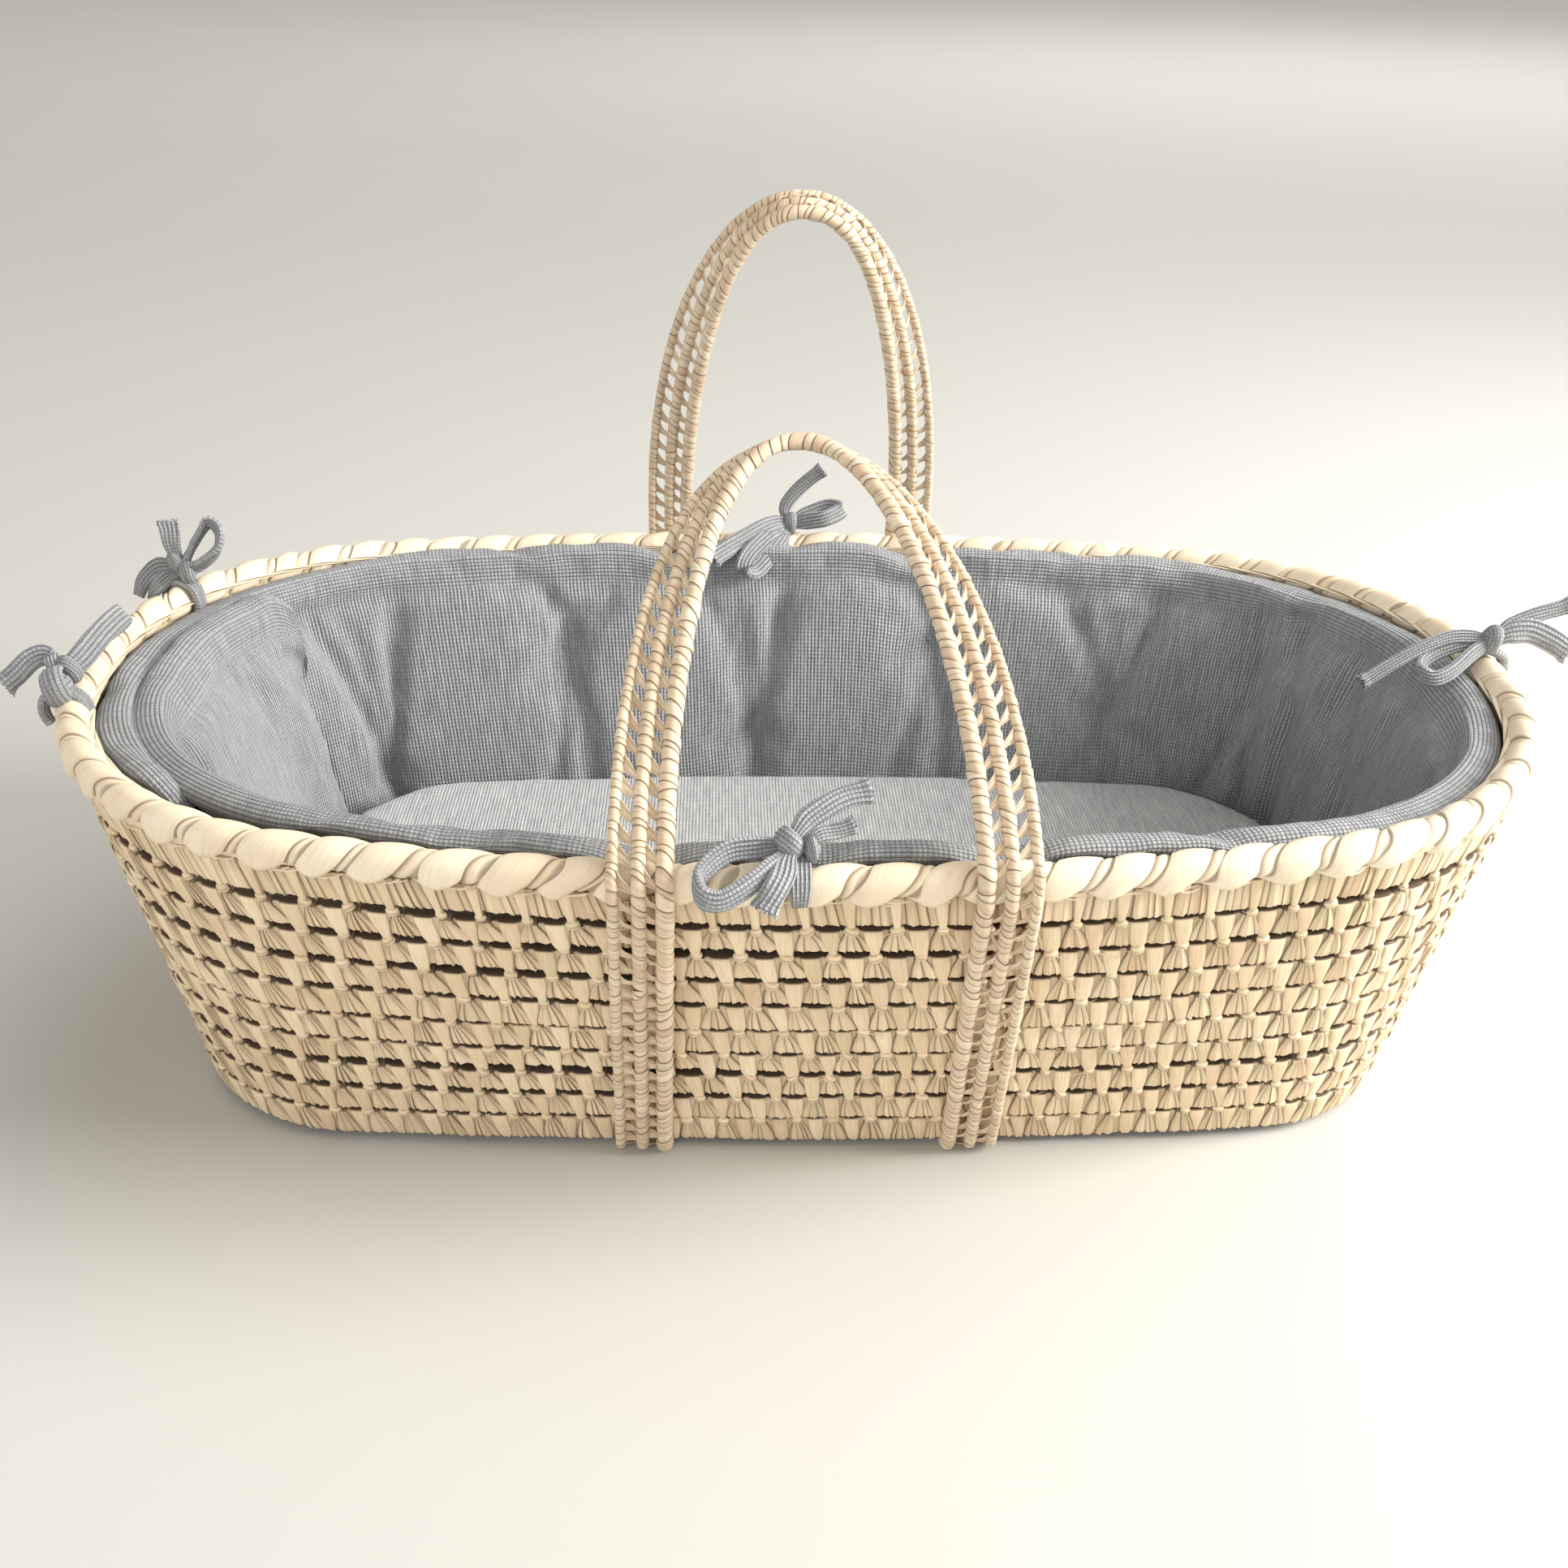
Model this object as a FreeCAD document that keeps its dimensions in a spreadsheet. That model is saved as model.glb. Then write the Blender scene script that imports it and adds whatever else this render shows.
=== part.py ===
import FreeCAD, Part
import os
from math import acos, atan2, copysign, cos, pi, radians, sin, sqrt, tan

# A coiled palm-leaf moses basket with two carry handles, a padded bumper and a mattress.
# Millimetres. X runs along the basket, Y across it and Z up. The origin is the middle of
# the flat underside of the base.

Vector = FreeCAD.Vector
doc = FreeCAD.newDocument("moses_basket")

# ---------------------------------------------------------------- driving dimensions

DIMENSIONS = [
    ("RimHalfLength", 410),
    ("RimHalfWidth", 237),
    ("RimHeight", 215),
    ("RimCornerRadius", 190),
    ("RimSideRadius", 1250),
    ("RimEndRadius", 900),
    ("BaseHalfLength", 352),
    ("BaseHalfWidth", 164),
    ("BaseCornerRadius", 95),
    ("BaseSideRadius", 4200),
    ("BaseEndRadius", 2500),
    ("WallBottom", 5),
    ("WallTop", 206),
    ("WallCourses", 10),
    ("CourseThickness", 8),
    ("CourseTilt", 16),
    ("RimCoreRadius", 6),
    ("RimWrapRadius", 8.75),
    ("BaseCourses", 6),
    ("BaseCoursePitch", 22.4),
    ("BaseCourseWidth", 22.3),
    ("BaseThickness", 10),
    ("BaseWallGap", 1.2),
    ("BaseStartGap", 0.1),
    ("CordRadius", 4.4),
    ("CordPitch", 12.2),
    ("HandleHalfSpan", 87),
    ("StrapHalfSpan", 92),
    ("HandleHeight", 245),
    ("HandleRoundness", 2.12),
    ("HandlePivotOut", 249.6),
    ("HandlePivotHeight", 225),
    ("FrontHandleLean", 52.6),
    ("BackHandleLean", 16.8),
    ("FrontHandleSway", -9),
    ("BackHandleSway", 1),
    ("FrontHandleTwist", 58),
    ("BackHandleTwist", 90),
    ("LinkRadius", 1.6),
    ("LinkGap", 0.4),
    ("StrapTop", 220.2),
    ("StrapRunHeight", 3),
    ("StrapFlatTop", 6.2),
    ("StrapBendRadius", 10),
    ("StrapStraightTop", 12),
    ("StrapGap", 5.6),
    ("ChannelHeight", 6.6),
    ("ChannelGap", 1),
    ("BumperBottom", 11),
    ("BumperTop", 215),
    ("BumperThickness", 22),
    ("BumperOverlap", 22),
    ("BumperGapLow", 5.5),
    ("BumperGapHigh", 15.3),
    ("CoverThickness", 1.5),
    ("MattressBottom", 10.4),
    ("MattressThickness", 57.6),
    ("MattressGap", 2.5),
    ("MattressTaper", 16),
    ("MattressCornerEase", 14),
    ("TuftRadius", 3),
    ("TuftThickness", 1.2),
    ("TuftHigh", 160),
    ("TuftLow", 108),
    ("Tufts", 22),
    ("TieRadius", 3),
    ("KnotRadius", 9),
    ("TieGap", 0.4),
]

sheet = doc.addObject("Spreadsheet::Sheet", "Dimensions")
for row, (alias, value) in enumerate(DIMENSIONS, start=1):
    sheet.set(f"A{row}", alias)
    sheet.set(f"B{row}", str(value))
    sheet.setAlias(f"B{row}", alias)
doc.recompute()

nodes = []


def size(alias):
    """The value of one cell of the sheet."""
    return float(sheet.get(alias))


def keep(obj, name):
    """Label an object as a finished sub-part."""
    obj.Label = name
    nodes.append(obj)
    return obj


def helper(shape, name):
    """A document object that holds construction geometry."""
    obj = doc.addObject("Part::Feature", name)
    obj.Shape = shape
    return obj


# ---------------------------------------------------------------- ovals


def mix(low, high, share):
    return low + (high - low) * share


def mix_radius(low, high, share):
    """Blend two radii by their curvature."""
    return 1.0 / mix(1.0 / low, 1.0 / high, share)


class Oval:
    """A rounded oval of arcs: bowed sides and ends joined by tangent corner arcs."""

    def __init__(self, half_length, half_width, corner, side, end, centre_x=0.0):
        self.half_length = half_length
        self.half_width = half_width
        self.corner = corner
        self.side = side
        self.end = end
        self.centre_x = centre_x

    def inset(self, distance, corner=None):
        """The oval that lies a distance inside this one."""
        radius = self.corner - distance if corner is None else corner
        return Oval(
            self.half_length - distance,
            self.half_width - distance,
            radius,
            self.side - distance,
            self.end - distance,
            self.centre_x,
        )

    def joints(self):
        """Corner arc's centre and its two tangent points in the first quadrant."""
        side_centre = Vector(0, self.half_width - self.side, 0)
        end_centre = Vector(self.half_length - self.end, 0, 0)
        between = side_centre - end_centre
        span = between.Length
        from_end = self.end - self.corner
        from_side = self.side - self.corner
        along = (from_end**2 - from_side**2 + span**2) / (2 * span)
        across = sqrt(from_end**2 - along**2)
        direction = between / span
        normal = Vector(-direction.y, direction.x, 0)
        if normal.x + normal.y < 0:
            normal = -normal
        centre = end_centre + direction * along + normal * across
        end_joint = centre + (centre - end_centre).normalize() * self.corner
        side_joint = centre + (centre - side_centre).normalize() * self.corner
        return centre, end_joint, side_joint

    def arcs(self, height):
        """Three points of each arc at a height, from the +X end anticlockwise."""
        centre, end_joint, side_joint = self.joints()
        middle = (end_joint - centre) + (side_joint - centre)
        corner_middle = centre + middle.normalize() * self.corner
        end_centre_x = self.half_length - self.end
        half_turn = 0.5 * atan2(end_joint.y, end_joint.x - end_centre_x)
        end_middle = Vector(end_centre_x + self.end * cos(half_turn), self.end * sin(half_turn), 0)

        def at(point, sign_x, sign_y):
            return Vector(self.centre_x + sign_x * point.x, sign_y * point.y, height)

        tip = Vector(self.half_length, 0, 0)
        top = Vector(0, self.half_width, 0)
        return [
            (at(tip, 1, 1), at(end_middle, 1, 1), at(end_joint, 1, 1)),
            (at(end_joint, 1, 1), at(corner_middle, 1, 1), at(side_joint, 1, 1)),
            (at(side_joint, 1, 1), at(top, 1, 1), at(side_joint, -1, 1)),
            (at(side_joint, -1, 1), at(corner_middle, -1, 1), at(end_joint, -1, 1)),
            (at(end_joint, -1, 1), at(tip, -1, 1), at(end_joint, -1, -1)),
            (at(end_joint, -1, -1), at(corner_middle, -1, -1), at(side_joint, -1, -1)),
            (at(side_joint, -1, -1), at(top, 1, -1), at(side_joint, 1, -1)),
            (at(side_joint, 1, -1), at(corner_middle, 1, -1), at(end_joint, 1, -1)),
            (at(end_joint, 1, -1), at(end_middle, 1, -1), at(tip, 1, 1)),
        ]

    def wire(self, height):
        """Closed wire at a height."""
        return Part.Wire([Part.Arc(*three).toShape() for three in self.arcs(height)])

    def start(self, height):
        return Vector(self.centre_x + self.half_length, 0, height)


def wall_oval(height):
    """The middle of the wall's thickness at a height."""
    share = (height - size("WallBottom")) / (size("RimHeight") - size("WallBottom"))
    return Oval(
        mix(size("BaseHalfLength"), size("RimHalfLength"), share),
        mix(size("BaseHalfWidth"), size("RimHalfWidth"), share),
        mix(size("BaseCornerRadius"), size("RimCornerRadius"), share),
        mix_radius(size("BaseSideRadius"), size("RimSideRadius"), share),
        mix_radius(size("BaseEndRadius"), size("RimEndRadius"), share),
    )


# ---------------------------------------------------------------- paths of runs and arcs


def rounded_path(points, bends=None, share=0.45):
    """A wire of straight runs joined by tangent arcs. bends gives chosen radii by point."""
    bends = bends or {}
    edges = []
    here = points[0]
    for index in range(1, len(points) - 1):
        corner = points[index]
        before = corner - points[index - 1]
        after = points[index + 1] - corner
        shorter = min(before.Length, after.Length)
        before.normalize()
        after.normalize()
        turn = acos(max(-1.0, min(1.0, before.dot(after))))
        if turn < radians(0.3):
            continue
        radius = bends.get(index, share * shorter / tan(turn / 2))
        reach = radius * tan(turn / 2)
        first = corner - before * reach
        last = corner + after * reach
        inward = (after - before).normalize()
        middle = corner + inward * (radius / cos(turn / 2) - radius)
        if (first - here).Length > 0.001:
            edges.append(Part.LineSegment(here, first).toShape())
        edges.append(Part.Arc(first, middle, last).toShape())
        here = last
    edges.append(Part.LineSegment(here, points[-1]).toShape())
    return Part.Wire(edges)


def turn_to(direction):
    """Rotation that takes +Z to a direction."""
    return FreeCAD.Rotation(Vector(0, 0, 1), direction)


def swept_cord(name, path, start, direction, radius_alias):
    """A round cord: a circle bound to the sheet, swept along a path."""
    spine = helper(path, name + "_path")
    circle = doc.addObject("Part::Circle", name + "_section")
    circle.setExpression("Radius", f"Dimensions.{radius_alias}")
    circle.Placement = FreeCAD.Placement(start, turn_to(direction))
    sweep = doc.addObject("Part::Sweep", name + "_sweep")
    sweep.Sections = [circle]
    sweep.Spine = (spine, [f"Edge{i + 1}" for i in range(len(path.Edges))])
    sweep.Solid = True
    sweep.Frenet = False
    return sweep


def swept_ring(name, oval, height, major, minor, tilt):
    """An oval ring of elliptical section. major and minor are expressions for the radii."""
    spine = helper(oval.wire(height), name + "_path")
    section = doc.addObject("Part::Ellipse", name + "_section")
    section.setExpression("MajorRadius", major)
    section.setExpression("MinorRadius", minor)
    upright = FreeCAD.Rotation(Vector(1, 0, 0), 90)
    lean = FreeCAD.Rotation(Vector(0, 1, 0), tilt)
    along = FreeCAD.Rotation(Vector(0, 1, 0), -90)
    section.Placement = FreeCAD.Placement(oval.start(height), lean * along * upright)
    sweep = doc.addObject("Part::Sweep", name + "_sweep")
    sweep.Sections = [section]
    sweep.Spine = (spine, [f"Edge{i + 1}" for i in range(len(spine.Shape.Edges))])
    sweep.Solid = True
    sweep.Frenet = False
    return sweep


# ---------------------------------------------------------------- strap channels in the base


def strap_channels():
    """Two grooves under the base, one for each strap."""
    boxes = []
    below = 1
    half = size("CordPitch") + size("CordRadius") + size("ChannelGap")
    for side in (-1, 1):
        box = doc.addObject("Part::Box", "channel_left" if side < 0 else "channel_right")
        box.Length = 2 * half
        box.setExpression("Width", "2 * Dimensions.RimHalfWidth")
        box.setExpression("Height", f"Dimensions.ChannelHeight + {below}")
        middle = side * size("StrapHalfSpan")
        box.Placement.Base = Vector(middle - half, -size("RimHalfWidth"), -below)
        boxes.append(box)
    fuse = doc.addObject("Part::MultiFuse", "strap_channels")
    fuse.Shapes = boxes
    return fuse


def cut(name, base, tool):
    result = doc.addObject("Part::Cut", name)
    result.Base = base
    result.Tool = tool
    return result


channels = strap_channels()


# ---------------------------------------------------------------- base

# Corner radii of the inner courses and of the start piece, as shares of their half width
LEAST_CORNER = 0.6
START_CORNER = 0.8


def build_base():
    bottom = wall_oval(size("WallBottom"))
    inset = size("CourseThickness") / 2 + size("BaseWallGap") + size("BaseCourseWidth") / 2
    outer = bottom.inset(inset)
    for index in range(int(size("BaseCourses"))):
        distance = index * size("BaseCoursePitch")
        corner = max(outer.corner - distance, LEAST_CORNER * (outer.half_width - distance))
        oval = outer.inset(distance, corner)
        name = f"base_course_{index + 1}"
        ring = swept_ring(
            name,
            oval,
            size("BaseThickness") / 2,
            "Dimensions.BaseCourseWidth / 2",
            "Dimensions.BaseThickness / 2",
            90,
        )
        keep(cut(name + "_cut", ring, channels), name)
    inner_edge = (size("BaseCourses") - 0.5) * size("BaseCoursePitch") + size("BaseStartGap")
    build_base_start(outer.inset(inner_edge, START_CORNER * (outer.half_width - inner_edge)))


def origin_plane(body, role):
    for feature in body.Origin.OriginFeatures:
        if feature.Role == role:
            return feature
    raise RuntimeError("no plane " + role)


def new_sketch(body, name, role="XY_Plane"):
    sketch = body.newObject("Sketcher::SketchObject", name)
    sketch.AttachmentSupport = (origin_plane(body, role), [""])
    sketch.MapMode = "FlatFace"
    return sketch


def build_base_start(oval):
    """The long flat piece in the middle that the base courses are wound round."""
    body = doc.addObject("PartDesign::Body", "base_start_body")
    sketch = new_sketch(body, "base_start_sketch")
    for three in oval.arcs(0):
        sketch.addGeometry(Part.Arc(*three))
    pad = body.newObject("PartDesign::Pad", "base_start_pad")
    pad.Profile = sketch
    pad.setExpression("Length", "Dimensions.BaseThickness")
    doc.recompute()
    keep(cut("base_start_cut", body, channels), "base_start")


build_base()


# ---------------------------------------------------------------- wall and rim


# Half a course's height as a share of the pitch, so that neighbouring courses press together
COURSE_SHARE = 0.515


def build_wall():
    count = int(size("WallCourses"))
    pitch = (size("WallTop") - size("WallBottom")) / count
    for index in range(count):
        height = size("WallBottom") + pitch * (index + 0.5)
        name = f"wall_course_{index + 1:02d}"
        ring = swept_ring(
            name,
            wall_oval(height),
            height,
            f"(Dimensions.WallTop - Dimensions.WallBottom) / Dimensions.WallCourses * {COURSE_SHARE}",
            "Dimensions.CourseThickness / 2",
            size("CourseTilt"),
        )
        if index == 0:
            ring = cut(name + "_cut", ring, channels)
        keep(ring, name)


def build_rim():
    oval = wall_oval(size("RimHeight"))
    height = size("RimHeight")
    path = oval.wire(height)
    start = oval.start(height)
    along = Vector(0, 1, 0)
    core = swept_cord("rim_core", path, start, along, "RimCoreRadius")
    hollow = swept_cord("rim_wrap_hollow", path, start, along, "RimCoreRadius")
    outside = swept_cord("rim_wrap_outside", path, start, along, "RimWrapRadius")
    keep(core, "rim_core")
    keep(cut("rim_wrap_cut", outside, hollow), "rim_wrap")


build_wall()
build_rim()


# ---------------------------------------------------------------- handles

ARCH_STATIONS = 20
CORD_NAMES = {-1: "inner", 0: "middle", 1: "outer"}


def smooth(share):
    return share * share * (3 - 2 * share)


def arch_angles(count):
    """Angles that divide the arch into runs of equal length."""
    fine = 2000
    points = [arch_point(pi * i / fine) for i in range(fine + 1)]
    lengths = [0.0]
    for index in range(fine):
        lengths.append(lengths[-1] + (points[index + 1] - points[index]).Length)
    angles = []
    step = 0
    for index in range(count + 1):
        wanted = lengths[-1] * index / count
        while step < fine and lengths[step] < wanted:
            step += 1
        angles.append(pi * step / fine)
    return angles


def arch_point(angle):
    """The band's middle line in the arch's own plane: X across, Z up from the pivot."""
    power = 2.0 / size("HandleRoundness")
    across = copysign(abs(cos(angle)) ** power, -cos(angle))
    up = max(sin(angle), 0.0) ** power
    return Vector(size("HandleHalfSpan") * across, 0, size("HandleHeight") * up)


def cord_point(angle, place, sway, twist):
    """A point on one cord. place is -1 for the inner cord, 0 middle and 1 outer."""
    step = 0.01
    before = arch_point(max(angle - step, 0.0))
    after = arch_point(min(angle + step, pi))
    tangent = (after - before).normalize()
    outward = Vector(-tangent.z, 0, tangent.x)
    share = smooth(min(angle, pi - angle) / (pi / 2))
    turn = radians(twist) * share
    offset = outward * cos(turn) + Vector(0, 1, 0) * sin(turn)
    point = arch_point(angle)
    shift = sway * (point.z / size("HandleHeight")) ** 2
    return point + Vector(shift, 0, 0) + offset * (place * size("CordPitch"))


def link_rods(lines, radius):
    """Short rods between neighbouring cords at the middle of each run."""
    rods = []
    gap = size("CordRadius") + size("LinkGap")
    for first, second in zip(lines, lines[1:]):
        for index in range(len(first) - 1):
            start = (first[index] + first[index + 1]) / 2
            end = (second[index] + second[index + 1]) / 2
            direction = (end - start).normalize()
            length = (end - start).Length - 2 * gap
            rods.append(Part.makeCylinder(radius, length, start + direction * gap, direction))
    return Part.makeCompound(rods)


def build_handle(side, lean, sway, twist):
    angles = arch_angles(ARCH_STATIONS)
    sign = -1 if side == "front" else 1
    pivot = Vector(0, sign * size("HandlePivotOut"), size("HandlePivotHeight"))
    placement = FreeCAD.Placement(pivot, FreeCAD.Rotation(Vector(1, 0, 0), sign * lean))
    lines = []
    for place, cord_name in CORD_NAMES.items():
        line = [cord_point(angle, place, sway, twist) for angle in angles]
        lines.append(line)
        name = f"{side}_handle_cord_{cord_name}"
        sweep = swept_cord(name, rounded_path(line), line[0], line[1] - line[0], "CordRadius")
        sweep.Placement = placement
        keep(sweep, name)
    links = doc.addObject("Part::Feature", f"{side}_handle_links_solids")
    links.Shape = link_rods(lines, size("LinkRadius"))
    links.Placement = placement
    keep(links, f"{side}_handle_links")


build_handle("front", size("FrontHandleLean"), size("FrontHandleSway"), size("FrontHandleTwist"))
build_handle("back", size("BackHandleLean"), size("BackHandleSway"), size("BackHandleTwist"))


# ---------------------------------------------------------------- straps

STRAP_LINKS_PER_SIDE = 9
STRAP_LINKS_FROM = 0.06
STRAP_LINKS_TO = 0.92


def strap_point(side, offset, front, high):
    """A corner of a strap cord's route on the front or back of the wall."""
    sign = -1 if front else 1
    across = size("HandleHalfSpan") if high else size("StrapHalfSpan")
    if high:
        out, height = size("HandlePivotOut"), size("StrapTop") - size("StrapStraightTop")
    else:
        out, height = size("BaseHalfWidth") + size("StrapBendRadius"), size("StrapRunHeight")
    return Vector(side * across + offset, sign * out, height)


def strap_tool():
    """Boxes that flatten the cords where they lie under the base."""
    depth = 20
    floor = doc.addObject("Part::Box", "strap_floor")
    floor.setExpression("Length", "2 * Dimensions.RimHalfLength")
    floor.setExpression("Width", "2 * Dimensions.RimHalfWidth")
    floor.Height = depth
    floor.Placement.Base = Vector(-size("RimHalfLength"), -size("RimHalfWidth"), -depth)
    over = doc.addObject("Part::Box", "strap_over")
    over.setExpression("Length", "2 * Dimensions.RimHalfLength")
    half = size("BaseHalfWidth") + size("StrapGap")
    over.Width = 2 * half
    over.Height = depth
    over.Placement.Base = Vector(-size("RimHalfLength"), -half, size("StrapFlatTop"))
    fuse = doc.addObject("Part::MultiFuse", "strap_flatteners")
    fuse.Shapes = [floor, over]
    return fuse


def build_strap(side, name, tool):
    links = []
    lines = []
    for place, cord_name in CORD_NAMES.items():
        offset = side * place * size("CordPitch")
        upper_front = strap_point(side, offset, True, True)
        lower_front = strap_point(side, offset, True, False)
        lower_back = strap_point(side, offset, False, False)
        upper_back = strap_point(side, offset, False, True)
        top_front = Vector(upper_front.x, upper_front.y, size("StrapTop"))
        top_back = Vector(upper_back.x, upper_back.y, size("StrapTop"))
        route = [top_front, upper_front, lower_front, lower_back, upper_back, top_back]
        bend = size("StrapBendRadius")
        path = rounded_path(route, {2: bend, 3: bend})
        node = f"{name}_cord_{cord_name}"
        sweep = swept_cord(node, path, top_front, Vector(0, 0, -1), "CordRadius")
        keep(cut(node + "_cut", sweep, tool), node)
        lines.append((upper_front, lower_front, upper_back, lower_back))
    for upper, lower in ((0, 1), (2, 3)):
        stations = []
        shares = [
            mix(STRAP_LINKS_FROM, STRAP_LINKS_TO, i / STRAP_LINKS_PER_SIDE)
            for i in range(STRAP_LINKS_PER_SIDE + 1)
        ]
        for line in lines:
            top = line[upper]
            down = line[lower] - top
            stations.append([top + down * share for share in shares])
        links.extend(link_rods(stations, size("LinkRadius")).Solids)
    obj = doc.addObject("Part::Feature", f"{name}_links_solids")
    obj.Shape = Part.makeCompound(links)
    keep(obj, f"{name}_links")


strap_flatteners = strap_tool()
build_strap(-1, "left_strap", strap_flatteners)
build_strap(1, "right_strap", strap_flatteners)


# ---------------------------------------------------------------- bumper


def bumper_oval(height, depth, grow_left):
    """The bumper's outline at a height, a depth in from its outer face."""
    low, high = size("BumperBottom"), size("BumperTop")
    share = (height - low) / (high - low)
    clearance = mix(size("BumperGapLow"), size("BumperGapHigh"), share)
    oval = wall_oval(height).inset(clearance + depth)
    oval.half_length -= grow_left / 2
    oval.centre_x = grow_left / 2
    return oval


def slanted_loft(name, low, high, depth, grow_left):
    """A solid between two ovals that follow the wall's slant."""
    sections = [
        helper(bumper_oval(low, depth, grow_left).wire(low), name + "_low"),
        helper(bumper_oval(high, depth, grow_left).wire(high), name + "_high"),
    ]
    loft = doc.addObject("Part::Loft", name)
    loft.Sections = sections
    loft.Solid = True
    loft.Ruled = True
    return loft


def build_bumper():
    low, high = size("BumperBottom"), size("BumperTop")
    skin = size("CoverThickness")
    thick = size("BumperThickness")
    overlap = size("BumperOverlap")
    outside = slanted_loft("bumper_outside", low, high, 0, 0)
    inside = slanted_loft("bumper_inside", low, high, thick, overlap)
    wadding_outside = slanted_loft("wadding_outside", low + skin, high - skin, skin, 0)
    wadding_inside = slanted_loft("wadding_inside", low + skin, high - skin, thick - skin, overlap)
    ring = cut("bumper_ring", outside, inside)
    wadding = cut("wadding_ring", wadding_outside, wadding_inside)
    keep(cut("bumper_cover_cut", ring, wadding), "bumper_cover")
    keep(wadding, "bumper_wadding")


def build_tufts():
    """Small stitched tufts on the bumper's inner face, upper and lower by turns."""
    thickness = size("TuftThickness")
    count = int(size("Tufts"))
    tufts = []
    for index in range(count):
        height = size("TuftHigh") if index % 2 else size("TuftLow")
        oval = bumper_oval(height, size("BumperThickness"), size("BumperOverlap"))
        wire = oval.wire(height)
        distance = wire.Length * (index + 0.5) / count
        point, tangent = point_on(wire, distance)
        inward = Vector(-tangent.y, tangent.x, 0).normalize()
        start = point + inward * thickness
        tufts.append(Part.makeCylinder(size("TuftRadius"), thickness, start, inward))
    obj = doc.addObject("Part::Feature", "bumper_tufts_solids")
    obj.Shape = Part.makeCompound(tufts)
    keep(obj, "bumper_tufts")


def point_on(wire, distance):
    """Point and tangent at a distance along a wire."""
    for edge in wire.Edges:
        if distance <= edge.Length:
            parameter = edge.getParameterByLength(distance)
            return edge.valueAt(parameter), edge.tangentAt(parameter)
        distance -= edge.Length
    raise RuntimeError("the distance is past the wire's end")


build_bumper()
build_tufts()


# ---------------------------------------------------------------- mattress


def mattress_body(name, shrink):
    """A flat oval pad with leaning sides, drawn at its foot so that its top fits the bumper."""
    low = size("MattressBottom") + shrink
    top = size("MattressBottom") + size("MattressThickness")
    growth = (size("MattressThickness") - 2 * shrink) * tan(radians(size("MattressTaper")))
    depth = size("BumperThickness") + size("MattressGap") + shrink + growth
    oval = bumper_oval(top, depth, size("BumperOverlap"))
    oval.corner += size("MattressCornerEase")
    body = doc.addObject("PartDesign::Body", name + "_body")
    sketch = new_sketch(body, name + "_sketch")
    for three in oval.arcs(0):
        sketch.addGeometry(Part.Arc(*three))
    sketch.AttachmentOffset = FreeCAD.Placement(Vector(0, 0, low), FreeCAD.Rotation())
    pad = body.newObject("PartDesign::Pad", name + "_pad")
    pad.Profile = sketch
    pad.setExpression("Length", f"Dimensions.MattressThickness - 2 * {shrink}")
    pad.setExpression("TaperAngle", "Dimensions.MattressTaper")
    doc.recompute()
    return body


def build_mattress():
    skin = size("CoverThickness")
    cover = mattress_body("mattress_cover", 0)
    core = mattress_body("mattress_core", skin)
    keep(cut("mattress_cover_cut", cover, core), "mattress_cover")
    keep(core, "mattress_core")


build_mattress()


# ---------------------------------------------------------------- ties

# Each tie is a fabric tape round the rim, tied in a bow: a knot, loops and tails. The
# points are offsets along X, Y and Z from the rim's middle at the tie. A strand that
# ends where it starts is a loop.

TAPE_DROP = 3


def over_rim(inward):
    """The tape's turn over the rim, from the bumper's side to the wall's side."""
    reach = size("RimWrapRadius") + size("TieRadius") + size("TieGap")
    inside = inward * reach
    outside = inward * -reach
    up = Vector(0, 0, reach)
    down = Vector(0, 0, -TAPE_DROP)
    return [inside + down, inside + up, outside + up, outside + down]


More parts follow.
